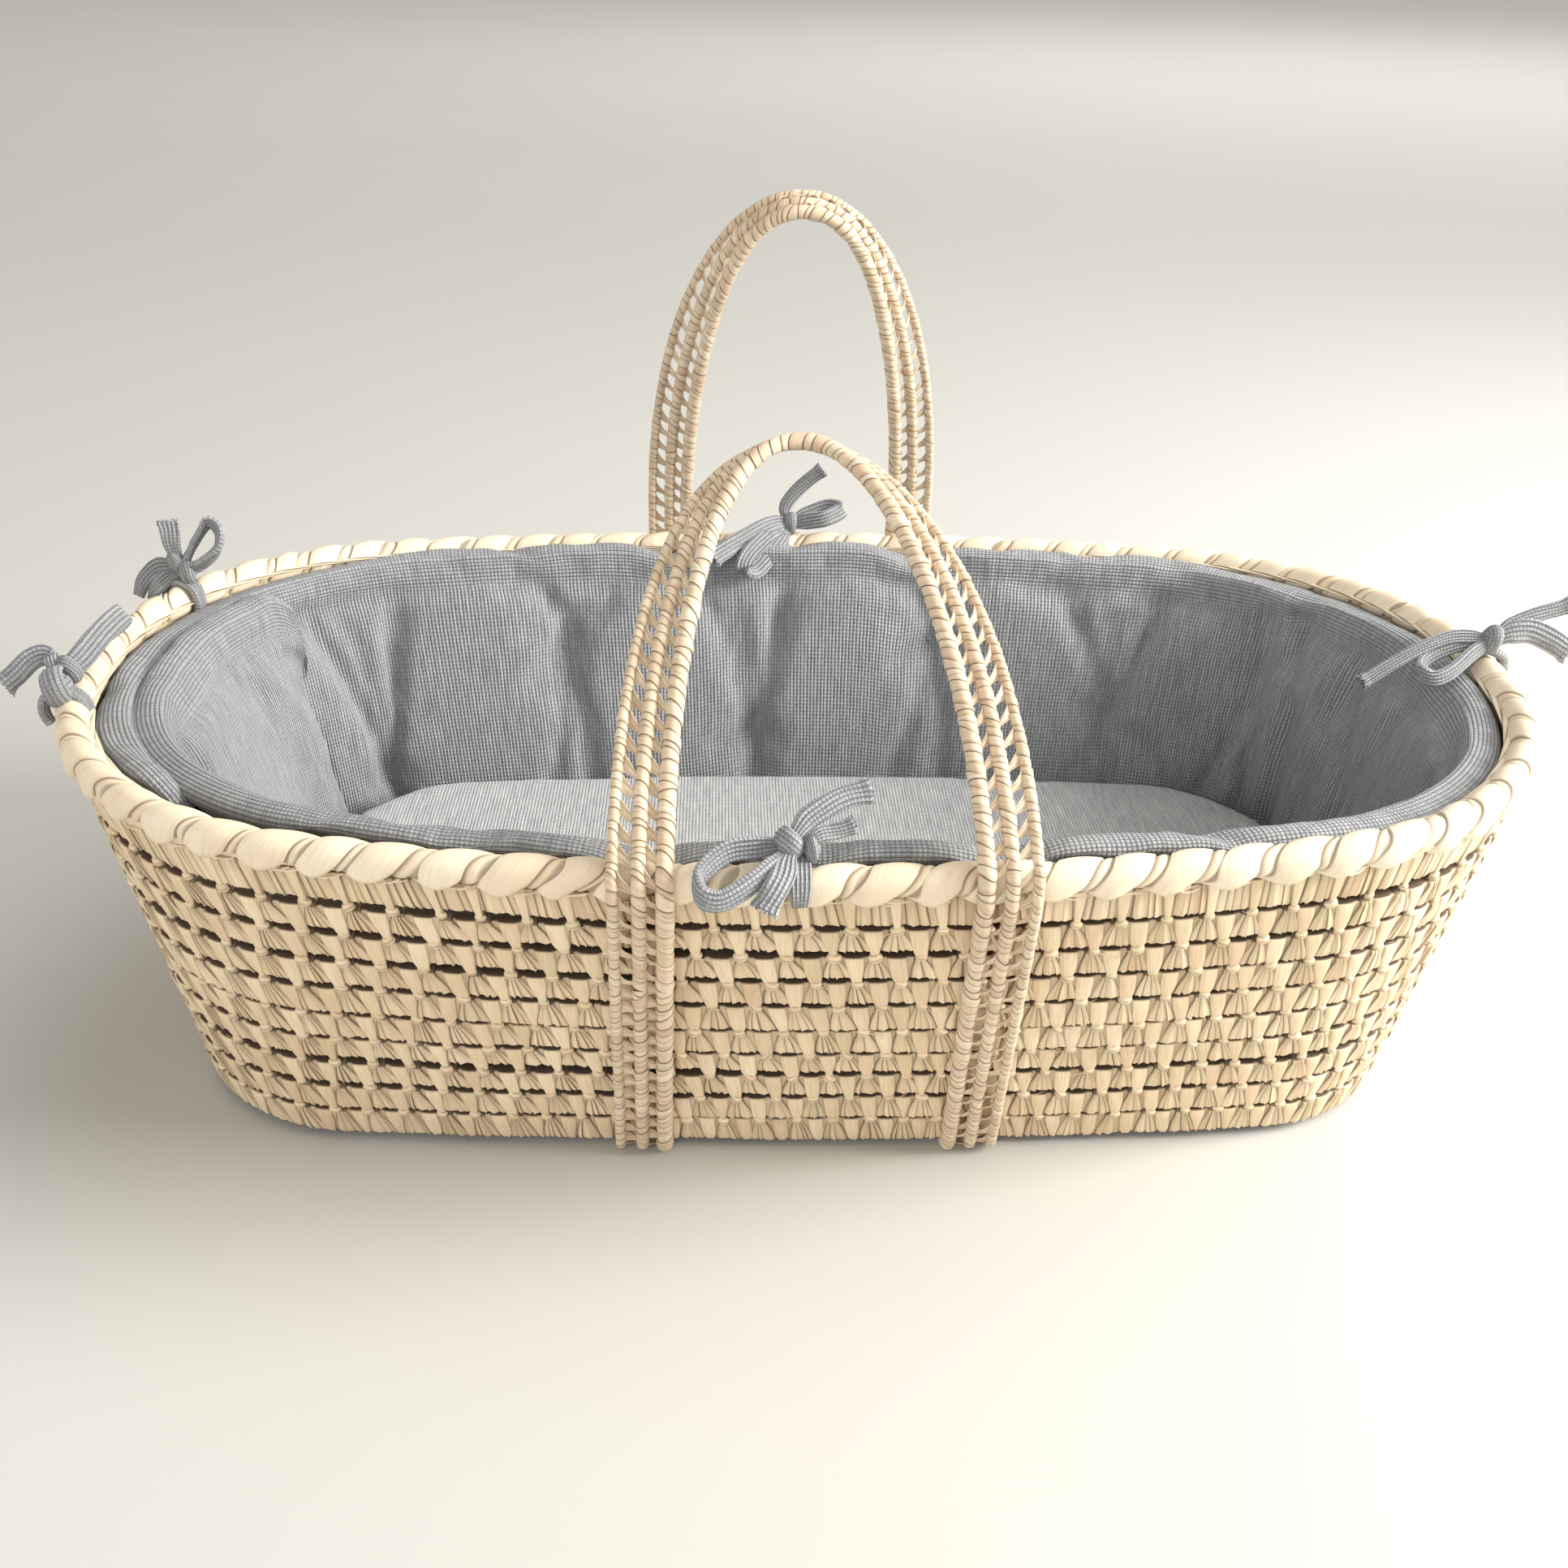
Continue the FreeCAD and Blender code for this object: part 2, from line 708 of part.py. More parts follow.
TIES = {
    "tie_front": {
        "rim": (-12, -237),
        "inward": (0, 1),
        "knot": (0, -10, 18),
        "strands": [
            [
                (0, -10, 18),
                (-22, -14, 25),
                (-42, -18, 18),
                (-50, -22, 8),
                (-40, -24, 1),
                (-20, -19, 8),
                (0, -10, 18),
            ],
            [(0, -10, 18), (14, -2, 28), (28, 8, 26), (26, 14, 20), (12, 6, 19), (0, -10, 18)],
            [(0, -10, 18), (14, 6, 26), (28, 22, 34), (42, 36, 36)],
            [(0, -10, 18), (-6, -20, 8), (-12, -25, -4), (-17, -27, -12)],
        ],
    },
    "tie_back": {
        "rim": (-6, 237),
        "inward": (0, -1),
        "knot": (0, 2, 19),
        "strands": [
            [
                (0, 2, 19),
                (-22, -14, 18),
                (-44, -34, 12),
                (-50, -46, -2),
                (-34, -49, -13),
                (-18, -38, 12),
                (0, 2, 19),
            ],
            [(0, 2, 19), (16, 2, 26), (34, 0, 28), (38, 2, 20), (20, 4, 17), (0, 2, 19)],
            [(0, 2, 19), (8, 4, 30), (18, 5, 38), (28, 5, 44)],
        ],
    },
    "tie_left_rear": {
        "rim": (-393, 101.5),
        "inward": (0.93, -0.37),
        "knot": (0, 0, 19),
        "strands": [
            [(0, 0, 19), (10, 4, 34), (24, 6, 44), (32, 4, 36), (20, 0, 24), (0, 0, 19)],
            [(0, 0, 19), (-6, 4, 30), (-9, 6, 42)],
            [(0, 0, 19), (-14, -6, 20), (-26, -16, 12), (-30, -24, 2)],
        ],
    },
    "tie_left_end": {
        "rim": (-409, -40),
        "inward": (1, 0),
        "knot": (-2, 0, 19),
        "strands": [
            [(-2, 0, 19), (4, 22, 26), (10, 48, 26), (14, 62, 20), (6, 40, 15), (-2, 0, 19)],
            [(-2, 0, 19), (-14, -14, 20), (-24, -26, 16), (-30, -34, 8)],
            [(-2, 0, 19), (-14, -20, 12), (-17, -36, -2), (-18, -30, -14), (-17, -12, 0), (-2, 0, 19)],
        ],
    },
    "tie_right_end": {
        "rim": (410, 0),
        "inward": (-1, 0),
        "knot": (0, 0, 19),
        "strands": [
            [(0, 0, 19), (-26, -12, 20), (-54, -24, 12), (-82, -30, 8)],
            [(0, 0, 19), (-22, -20, 16), (-46, -36, 8), (-52, -34, 4), (-28, -14, 10), (0, 0, 19)],
            [(0, 0, 19), (18, 8, 26), (38, 16, 31), (58, 22, 34)],
            [(0, 0, 19), (20, -2, 18), (44, -6, 14), (52, -12, 6), (30, -12, 9), (0, 0, 19)],
        ],
    },
}


def tie_strand(points, radius):
    path = rounded_path(points)
    direction = (points[1] - points[0]).normalize()
    section = Part.Wire([Part.Circle(points[0], direction, radius).toShape()])
    tube = path.makePipeShell([section], True, False)
    end_ball = Part.makeSphere(radius, points[-1])
    return tube.fuse(end_ball)


def build_tie(name, tie):
    rim = Vector(tie["rim"][0], tie["rim"][1], size("RimHeight"))
    inward = Vector(tie["inward"][0], tie["inward"][1], 0).normalize()
    radius = size("TieRadius")
    shape = Part.makeSphere(size("KnotRadius"), rim + Vector(*tie["knot"]))
    turn = [rim + point for point in over_rim(inward)]
    shape = shape.fuse(tie_strand(turn, radius))
    for strand in tie["strands"]:
        points = [rim + Vector(*point) for point in strand]
        if strand[0] == strand[-1]:
            tip = len(points) // 2
            shape = shape.fuse(tie_strand(points[: tip + 1], radius))
            points = list(reversed(points[tip:]))
        shape = shape.fuse(tie_strand(points, radius))
    obj = doc.addObject("Part::Feature", name + "_tape")
    obj.Shape = shape
    keep(obj, name)


for tie_name, tie_data in TIES.items():
    build_tie(tie_name, tie_data)


# ---------------------------------------------------------------- check and write

doc.recompute()
faults = []
for obj in doc.Objects:
    if "Invalid" in obj.State or "Error" in obj.State:
        faults.append(f"{obj.Name}: {obj.State}")
for obj in nodes:
    shape = obj.Shape
    if shape.isNull() or not shape.isValid() or not shape.Solids:
        faults.append(f"{obj.Label}: null, invalid or not solid")
if faults:
    raise RuntimeError("; ".join(faults))

os.makedirs("parts", exist_ok=True)
for obj in nodes:
    obj.Shape.exportStep(f"parts/{obj.Label}.step")
print(len(nodes), "sub-parts written")
for obj in nodes:
    box = obj.Shape.BoundBox
    count = len(obj.Shape.Solids)
    print(f"{obj.Label:28s} solids {count:3d} volume {obj.Shape.Volume:11.0f}")
    print(f"  x {box.XMin:7.1f} {box.XMax:7.1f}  y {box.YMin:7.1f} {box.YMax:7.1f}")
    print(f"  z {box.ZMin:7.1f} {box.ZMax:7.1f}")
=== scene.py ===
import math

import bpy
import numpy as np
from mathutils import Matrix, Vector


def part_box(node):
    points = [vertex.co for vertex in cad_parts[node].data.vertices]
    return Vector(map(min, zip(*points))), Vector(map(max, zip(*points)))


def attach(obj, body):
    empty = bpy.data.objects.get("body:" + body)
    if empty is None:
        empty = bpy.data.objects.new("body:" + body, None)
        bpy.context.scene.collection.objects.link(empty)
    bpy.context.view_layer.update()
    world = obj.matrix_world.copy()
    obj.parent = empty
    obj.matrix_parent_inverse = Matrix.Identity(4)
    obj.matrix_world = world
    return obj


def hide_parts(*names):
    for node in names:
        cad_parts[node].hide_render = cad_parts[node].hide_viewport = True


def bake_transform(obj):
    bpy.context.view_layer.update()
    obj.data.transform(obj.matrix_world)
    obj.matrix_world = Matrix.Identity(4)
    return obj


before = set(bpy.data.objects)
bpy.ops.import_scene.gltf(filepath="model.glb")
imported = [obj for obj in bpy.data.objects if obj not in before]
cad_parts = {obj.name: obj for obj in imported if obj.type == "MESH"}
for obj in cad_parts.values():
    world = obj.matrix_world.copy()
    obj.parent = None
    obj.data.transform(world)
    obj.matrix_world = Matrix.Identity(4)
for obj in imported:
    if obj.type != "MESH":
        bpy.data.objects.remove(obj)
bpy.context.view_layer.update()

# A coiled palm-leaf moses basket: woven wall, wound rim, wrapped handles, padded bumper,
# mattress and tied bows. Metres, in the CAD frame: X along the basket, Y across, Z up.

MM = 0.001
TAU = 2 * math.pi
UPRIGHT = (0.0, 0.0, 1.0)

# ---------------------------------------------------------------- sizes shared with the frame

RIM_RADIUS = 8.75 * MM
RIM_HALF_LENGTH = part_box("rim_wrap")[1].x - RIM_RADIUS
RIM_HALF_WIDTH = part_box("rim_wrap")[1].y - RIM_RADIUS
RIM_HEIGHT = 0.5 * (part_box("rim_wrap")[0].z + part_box("rim_wrap")[1].z)
WALL_BOTTOM = 5 * MM
BASE_HALF_LENGTH, BASE_HALF_WIDTH = 352 * MM, 164 * MM
RIM_CORNER, BASE_CORNER = 190 * MM, 95 * MM
RIM_SIDE, BASE_SIDE = 1250 * MM, 4200 * MM
RIM_END, BASE_END = 900 * MM, 2500 * MM
WALL_LEAN = math.radians(17)
END_RISE = 8 * MM


def mix(low, high, share):
    return low + (high - low) * share


def smooth(share):
    share = np.clip(share, 0.0, 1.0)
    return share * share * (3 - 2 * share)


class Oval:
    """A rounded oval of tangent arcs, traced from the left tip by way of the front side."""

    def __init__(self, half_length, half_width, corner, side, end, centre_x=0.0):
        side_centre = np.array([0.0, half_width - side])
        end_centre = np.array([half_length - end, 0.0])
        between = side_centre - end_centre
        span = np.linalg.norm(between)
        along = ((end - corner) ** 2 - (side - corner) ** 2 + span**2) / (2 * span)
        across = math.sqrt((end - corner) ** 2 - along**2)
        direction = between / span
        normal = np.array([-direction[1], direction[0]])
        if normal.sum() < 0:
            normal = -normal
        centre = end_centre + direction * along + normal * across
        end_turn = math.atan2(*(centre - end_centre)[::-1])
        side_turn = math.atan2(*(centre - side_centre)[::-1])
        arcs = [
            (end_centre, end, 0.0, end_turn),
            (centre, corner, end_turn, side_turn),
            (side_centre, side, side_turn, math.pi / 2),
        ]
        spots, turns = [], []
        for middle, radius, first, last in arcs:
            turn = np.linspace(first, last, 90)
            spots.append(middle + radius * np.stack([np.cos(turn), np.sin(turn)], 1))
            turns.append(turn)
        quarter, turn = np.concatenate(spots), np.concatenate(turns)
        x, y = quarter[:, 0], quarter[:, 1]
        pi = math.pi
        self.x = np.concatenate([-x, x[::-1], x, -x[::-1]]) + centre_x
        self.y = np.concatenate([-y, -y[::-1], y, y[::-1]])
        self.turn = np.concatenate([pi + turn, 2 * pi - turn[::-1], 2 * pi + turn, 3 * pi - turn[::-1]])
        steps = np.hypot(np.diff(self.x), np.diff(self.y))
        self.reach = np.concatenate([[0.0], np.cumsum(steps)])
        self.length = self.reach[-1]

    def at(self, share):
        """Points and outward normals at shares of the way round."""
        along = np.mod(share, 1.0) * self.length
        x = np.interp(along, self.reach, self.x)
        y = np.interp(along, self.reach, self.y)
        turn = np.interp(along, self.reach, self.turn)
        return x, y, np.cos(turn), np.sin(turn)


def wall_sizes(height, inset=0.0):
    """The half length, half width and three radii of the wall's oval at a height."""
    share = (height - WALL_BOTTOM) / (RIM_HEIGHT - WALL_BOTTOM)
    return [
        mix(BASE_HALF_LENGTH, RIM_HALF_LENGTH, share) - inset,
        mix(BASE_HALF_WIDTH, RIM_HALF_WIDTH, share) - inset,
        mix(BASE_CORNER, RIM_CORNER, share) - inset,
        1 / mix(1 / BASE_SIDE, 1 / RIM_SIDE, share) - inset,
        1 / mix(1 / BASE_END, 1 / RIM_END, share) - inset,
    ]


def wall_oval(height):
    return Oval(*wall_sizes(height))


def rise(points):
    """The rim lifts a little towards the two ends, and the courses under it follow."""
    points = np.array(points, float)
    share = np.clip(np.abs(points[..., 0]) / RIM_HALF_LENGTH, 0, 1.1)
    points[..., 2] += END_RISE * share**3 * np.clip(points[..., 2] / RIM_HEIGHT, 0, 1.2) ** 1.5
    return points


# ---------------------------------------------------------------- mesh builder


class Piece:
    """Vertices and faces of one piece, gathered grid by grid."""

    def __init__(self):
        self.points, self.faces, self.tones, self.grains, self.total = [], [], [], [], 0

    def add(self, points, faces, tone=(0.5, 0.0, 0.5), grain=(0.0, 0.0, 0.0)):
        points = np.asarray(points, float).reshape(-1, 3)
        count = len(points)
        self.points.append(points)
        for group in faces:
            self.faces.append(np.asarray(group) + self.total)
        self.tones.append(np.broadcast_to(np.asarray(tone, float).reshape(-1, 3), (count, 3)))
        self.grains.append(np.broadcast_to(np.asarray(grain, float).reshape(-1, 3), (count, 3)))
        self.total += count

    def build(self, name, material, sharp=None):
        mesh = bpy.data.meshes.new(name)
        points = np.concatenate(self.points)
        faces = [row for group in self.faces for row in group.tolist()]
        mesh.from_pydata(points.tolist(), [], faces)
        tones = np.concatenate(self.tones)
        colours = np.column_stack([tones, np.ones(len(tones))])
        # The tone attribute holds each point's own tone, its amount of painted shade and its hue; the cloths
        # read the middle channel as a hem mask instead.
        tone = mesh.attributes.new("tone", "FLOAT_COLOR", "POINT")
        tone.data.foreach_set("color", colours.astype(np.float32).ravel())
        set_grain(mesh, np.concatenate(self.grains))
        mesh.polygons.foreach_set("use_smooth", [True] * len(mesh.polygons))
        if sharp:
            mesh.set_sharp_from_angle(angle=math.radians(sharp))
        mesh.materials.append(material)
        piece = bpy.data.objects.new(name, mesh)
        bpy.context.scene.collection.objects.link(piece)
        return piece


def set_grain(mesh, values):
    """Keeps each point's place on its leaf or cloth, which the materials read."""
    grain = mesh.attributes.new("grain", "FLOAT_VECTOR", "POINT")
    grain.data.foreach_set("vector", np.asarray(values, np.float32).ravel())


def side_by_side(zero, *values):
    """The values in a last axis, each spread to the shape of the zeros."""
    return np.stack([value + zero for value in values], -1)


def grid_faces(columns, rows, wrap_columns=False, wrap_rows=False, shift=0):
    """Quads over a grid of columns by rows. shift joins the last row to a later column."""
    column = np.arange(columns if wrap_columns else columns - 1)
    row = np.arange(rows if wrap_rows else rows - 1)
    column, row = [part.ravel() for part in np.meshgrid(column, row, indexing="ij")]
    next_column, next_row = (column + 1) % columns, (row + 1) % rows
    move = np.where(next_row < row, shift, 0)
    corners = [
        column * rows + row,
        next_column * rows + row,
        (next_column + move) % columns * rows + next_row,
        (column + move) % columns * rows + next_row,
    ]
    return [np.stack(corners, 1)]


def end_caps(rows, sides):
    """Fans that close both ends of a swept ring. Their two middles follow the ring's points."""
    first = np.arange(sides)
    after = (first + 1) % sides
    middle = rows * sides + 0 * first
    last = (rows - 1) * sides
    return [np.stack([middle, after, first], 1), np.stack([middle + 1, first + last, after + last], 1)]


def slab(front, thickness):
    """A closed thin shell behind a grid of points (columns, rows, 3)."""
    front = np.asarray(front, float)
    normal = np.cross(np.gradient(front, axis=0), np.gradient(front, axis=1))
    normal /= np.maximum(np.linalg.norm(normal, axis=2, keepdims=True), 1e-12)
    back = front - normal * thickness
    columns, rows = front.shape[:2]
    faces = grid_faces(columns, rows)[0]
    rim = [k * rows for k in range(columns)]
    rim += [(columns - 1) * rows + k for k in range(1, rows)]
    rim += [k * rows + rows - 1 for k in range(columns - 2, -1, -1)]
    rim += [k for k in range(rows - 2, 0, -1)]
    rim = np.array(rim)
    after = np.roll(rim, -1)
    count = columns * rows
    sides = np.stack([rim, rim + count, after + count, after], 1)
    points = np.concatenate([front.reshape(-1, 3), back.reshape(-1, 3)])
    return points, [faces, faces[:, ::-1] + count, sides]


def frames_along(line, hint):
    """Unit tangent, across and face vectors along a line. hint points across the line."""
    tangent = np.gradient(line, axis=0)
    tangent /= np.linalg.norm(tangent, axis=1, keepdims=True)
    across = hint - tangent * np.sum(hint * tangent, axis=1, keepdims=True)
    across /= np.maximum(np.linalg.norm(across, axis=1, keepdims=True), 1e-12)
    return tangent, across, np.cross(tangent, across)


def reach_of(line):
    """How far along a line each of its points is."""
    return np.concatenate([[0.0], np.cumsum(np.linalg.norm(np.diff(line, axis=0), axis=1))])


def along_line(values, reach, where):
    """Each column of values read at distances along a line."""
    return np.stack([np.interp(where, reach, values[:, k]) for k in range(values.shape[1])], -1)


def smooth_line(points, count):
    """A Catmull-Rom curve through given points."""
    points = np.asarray(points, float)
    padded = np.concatenate([[2 * points[0] - points[1]], points, [2 * points[-1] - points[-2]]])
    spans = len(points) - 1
    where = np.linspace(0, spans, count)
    k = np.minimum(where.astype(int), spans - 1)
    t = (where - k)[:, None]
    p0, p1, p2, p3 = padded[k], padded[k + 1], padded[k + 2], padded[k + 3]
    curve = 2 * p1 + (p2 - p0) * t + (2 * p0 - 5 * p1 + 4 * p2 - p3) * t**2
    return 0.5 * (curve + (3 * p1 - p0 - 3 * p2 + p3) * t**3)


def tube(line, hint, radius, sides=6):
    """A round closed tube along a line. radius is a number or one for each point."""
    _, across, face = frames_along(line, hint)
    turn = np.arange(sides) * TAU / sides
    ring = np.cos(turn)[None, :, None] * across[:, None] + np.sin(turn)[None, :, None] * face[:, None]
    points = line[:, None] + ring * np.reshape(radius, (-1, 1, 1))
    n = len(line)
    ends = np.stack([line[0], line[-1]])
    faces = grid_faces(n, sides, wrap_rows=True) + end_caps(n, sides)
    return np.concatenate([points.reshape(-1, 3), ends]), faces


def add_fibre(piece, line, hint, radius, tone=(0.5, 0.0, 0.5), grain=(0.0, 0.0, 0.0), sides=5):
    """A thin round fibre or thread along a line."""
    points, faces = tube(line, np.broadcast_to(hint, line.shape), radius, sides)
    piece.add(points, faces, tone, grain)


# ---------------------------------------------------------------- materials


class Nodes:
    """Short names for building a material's node tree."""

    def __init__(self, name, roughness, sheen=0.0, specular=0.4):
        self.material = bpy.data.materials.new(name)
        self.material.use_nodes = True
        self.tree = self.material.node_tree
        self.shader = self.tree.nodes["Principled BSDF"]
        self.shader.inputs["Roughness"].default_value = roughness
        self.shader.inputs["Sheen Weight"].default_value = sheen
        self.shader.inputs["Sheen Roughness"].default_value = 0.6
        self.shader.inputs["Specular IOR Level"].default_value = specular

    def feed(self, socket, value):
        """Links a socket to another node's output, or sets it to a plain value."""
        if hasattr(value, "links"):
            self.tree.links.new(value, socket)
        else:
            socket.default_value = value

    def node(self, kind, **inputs):
        made = self.tree.nodes.new(kind)
        for key, value in inputs.items():
            self.feed(made.inputs[key.replace("_", " ")], value)
        return made

    def math(self, operation, *values):
        made = self.tree.nodes.new("ShaderNodeMath")
        made.operation = operation
        for socket, value in zip(made.inputs, values):
            self.feed(socket, value)
        return made.outputs[0]

    def blend(self, share, a, b, how="MIX"):
        made = self.tree.nodes.new("ShaderNodeMix")
        made.data_type = "RGBA"
        made.blend_type = how
        for k, value in ((0, share), (6, a), (7, b)):
            self.feed(made.inputs[k], (*value, 1.0) if isinstance(value, tuple) else value)
        return made.outputs[2]

    def mixed(self, share, a, b):
        near = self.math("MULTIPLY", a, self.math("SUBTRACT", 1.0, share))
        return self.math("ADD", near, self.math("MULTIPLY", b, share))

    def grain(self):
        return self.attribute("grain").outputs["Vector"]

    def tone(self):
        return self.node("ShaderNodeSeparateColor", Color=self.attribute("tone").outputs["Color"]).outputs

    def attribute(self, name):
        made = self.tree.nodes.new("ShaderNodeAttribute")
        made.attribute_name = name
        return made

    def place(self):
        return self.tree.nodes.new("ShaderNodeTexCoord").outputs["Object"]

    def scaled(self, vector, scale):
        return self.node("ShaderNodeMapping", Vector=vector, Scale=scale).outputs[0]

    def noise(self, vector, scale, detail=2.0):
        return self.node("ShaderNodeTexNoise", Vector=vector, Scale=scale, Detail=detail).outputs["Fac"]

    def curve(self, value, low, high, to_low=0.0, to_high=1.0):
        inputs = {"Value": value, "From_Min": low, "From_Max": high, "To_Min": to_low, "To_Max": to_high}
        return self.node("ShaderNodeMapRange", **inputs).outputs[0]

    def finish(self, colour, height, strength, distance):
        bump = self.node("ShaderNodeBump", Height=height, Strength=strength, Distance=distance)
        self.feed(self.shader.inputs["Base Color"], colour)
        self.feed(self.shader.inputs["Normal"], bump.outputs["Normal"])
        return self.material


RED_LEAF, GREEN_LEAF = (0.60, 0.36, 0.23), (0.47, 0.43, 0.21)
# Colour of the painted shade that darkens the leaves' creases, grooves, slots and undersides
LEAF_PAINTED_SHADE = (0.045, 0.024, 0.012)
PALE_FLOOR, GREY_FLOOR = (0.585, 0.58, 0.555), (0.56, 0.553, 0.525)


def leaf_material(name, pale, tan, crease_shade, roughness):
    """Dried palm leaf: fine streaks along each strip, a tone of its own, and painted shade in its creases,
    grooves and slots.
    """
    made = Nodes(name, roughness, specular=0.35)
    tone, shade, hue = made.tone()
    grain = made.grain()
    streak = made.noise(made.scaled(grain, (1500, 70, 1)), 1.0, 3.0)
    broad = made.noise(made.scaled(grain, (260, 25, 1)), 1.0, 2.0)
    patch = made.noise(made.place(), 14.0, 2.0)
    share = made.math("ADD", made.math("MULTIPLY", tone, 0.55), made.math("MULTIPLY", patch, 0.45))
    colour = made.blend(made.curve(share, 0.12, 0.78), pale, tan)
    colour = made.blend(made.curve(hue, 0.75, 1.0, 0.0, 0.30), colour, RED_LEAF)
    colour = made.blend(made.curve(hue, 0.25, 0.0, 0.0, 0.28), colour, GREEN_LEAF)
    colour = made.blend(made.curve(streak, 0.42, 0.72, 0.0, 0.45), colour, tan, "MULTIPLY")
    colour = made.blend(made.curve(broad, 0.52, 0.75, 0.0, 0.35), colour, tan)
    # The shade channel blends towards the painted shade colour.
    colour = made.blend(made.curve(shade, 0.05, 1.0, 0.0, 0.93), colour, crease_shade)
    return made.finish(colour, made.math("ADD", streak, made.math("MULTIPLY", broad, 0.6)), 0.35, 0.0006)


def cloth_material(name, pale, grey, across_pitch, along_pitch, strength, heather=0.55):
    """Heather waffle cloth: raised cells in rows, with flecks of a lighter and a darker yarn, and painted
    shade in the hollows between the cells.
    """
    made = Nodes(name, 0.92, sheen=0.25, specular=0.15)
    grain = made.grain()
    over, along, _ = made.node("ShaderNodeSeparateXYZ", Vector=grain).outputs
    first = made.math("ABSOLUTE", made.math("SINE", made.math("MULTIPLY", over, math.pi / across_pitch)))
    second = made.math("ABSOLUTE", made.math("SINE", made.math("MULTIPLY", along, math.pi / along_pitch)))
    _, hem, _ = made.tone()
    ridge = made.mixed(hem, first, second)
    purl = made.mixed(hem, second, first)
    valley = made.math("ADD", made.math("MULTIPLY", purl, 0.5), 0.5)
    cell = made.math("MULTIPLY", made.math("POWER", ridge, 0.6), valley)
    fleck = made.noise(made.scaled(grain, (900, 420, 1)), 1.0, 2.0)
    slub = made.noise(made.scaled(grain, (330, 45, 1)), 1.0, 2.0)
    patch = made.noise(made.scaled(grain, (9, 9, 1)), 1.0, 2.0)
    mixed = made.math("ADD", made.math("MULTIPLY", fleck, 0.5), made.math("MULTIPLY", slub, 0.5))
    colour = made.blend(made.curve(mixed, 0.36, 0.64), grey, pale)
    colour = made.blend(made.curve(patch, 0.35, 0.7, 0.0, heather * 0.3), colour, pale)
    # Painted shade for the hollows between the cells
    hollow_shade = tuple(0.42 * c for c in grey)
    colour = made.blend(made.curve(cell, 0.58, 0.14, 0.0, 0.74), colour, hollow_shade)
    height = made.math("ADD", cell, made.math("MULTIPLY", fleck, 0.25))
    return made.finish(colour, height, strength, 0.0012)


def thread_material(colour):
    """Dark cotton thread, with a fine mottle."""
    made = Nodes("thread", 0.8, sheen=0.1, specular=0.2)
    speck = made.noise(made.place(), 900.0, 3.0)
    mixed = made.blend(made.curve(speck, 0.35, 0.7, 0.0, 0.4), colour, tuple(0.5 * c for c in colour))
    return made.finish(mixed, speck, 0.3, 0.0006)


def floor_material():
    """A plain pale floor with a faint cloudy change of tone."""
    made = Nodes("pale_floor", 0.75, specular=0.2)
    cloud = made.noise(made.place(), 0.9, 2.0)
    colour = made.blend(made.curve(cloud, 0.3, 0.7, 0.0, 0.5), PALE_FLOOR, GREY_FLOOR)
    return made.finish(colour, cloud, 0.02, 0.001)


# Each leaf's fourth colour is its painted shade colour.
WALL_LEAF = leaf_material("palm_leaf", (0.93, 0.79, 0.58), (0.74, 0.58, 0.39), LEAF_PAINTED_SHADE, 0.58)
RIM_LEAF = leaf_material("rim_leaf", (0.95, 0.87, 0.71), (0.80, 0.66, 0.48), (0.09, 0.05, 0.025), 0.42)
CORD_LEAF = leaf_material("cord_leaf", (0.85, 0.73, 0.56), (0.61, 0.465, 0.33), LEAF_PAINTED_SHADE, 0.48)
PALE_CLOTH, GREY_CLOTH = (0.415, 0.425, 0.44), (0.22, 0.23, 0.25)
PALE_PAD, GREY_PAD = (0.57, 0.58, 0.59), (0.33, 0.34, 0.36)
PALE_TAPE, GREY_TAPE = (0.43, 0.44, 0.455), (0.25, 0.26, 0.28)
BUMPER_CLOTH = cloth_material("waffle_cloth", PALE_CLOTH, GREY_CLOTH, 2.5 * MM, 2.5 * MM, 1.0)
MATTRESS_CLOTH = cloth_material("heather_cloth", PALE_PAD, GREY_PAD, 2.2 * MM, 3.4 * MM, 0.5)
TAPE_CLOTH = cloth_material("tie_tape", PALE_TAPE, GREY_TAPE, 2.4 * MM, 2.1 * MM, 1.0)
THREAD = thread_material((0.30, 0.31, 0.33))

# ---------------------------------------------------------------- woven courses

STITCHES = 96
PLEATS = 4
PLEAT_LIFT, FAN_TOP_LIFT, GUSSET_LIFT, BACK_LIFT = 1.25 * MM, 1.1 * MM, -0.5 * MM, -0.2 * MM
GUSSET_STEPS = (0.12, 0.88)
# One number for each leaf spreads its streaks apart from its neighbours' streaks.
LEAF_APART = 13.0
RAGGED = 0.4 * MM
WEAVE_ANGLE = 42
PLEAT_STEPS = (0.03, 0.32, 0.62, 0.88, 0.97)
TONGUE_STEPS = (0.0, 0.10, 0.30, 0.5, 0.70, 0.90, 1.0)
# A course's section: how far down its height each row of points is, and how far out.
FRONT_FALL = (0.0, 0.02, 0.035, 0.11, 0.28, 0.47, 0.62, 0.76, 0.88, 0.95, 0.985, 1.0)
FRONT_BULGE = (0.0, 0.60, 0.82, 0.97, 1.02, 1.03, 1.04, 1.04, 1.03, 1.0, 0.90, 0.50)
BACK_FALL = (0.95, 0.75, 0.5, 0.25, 0.04)
BACK_BULGE = (-0.35, -0.65, -0.7, -0.65, -0.3)
FRONT_ROWS, BACK_ROWS = len(FRONT_FALL), len(BACK_FALL)


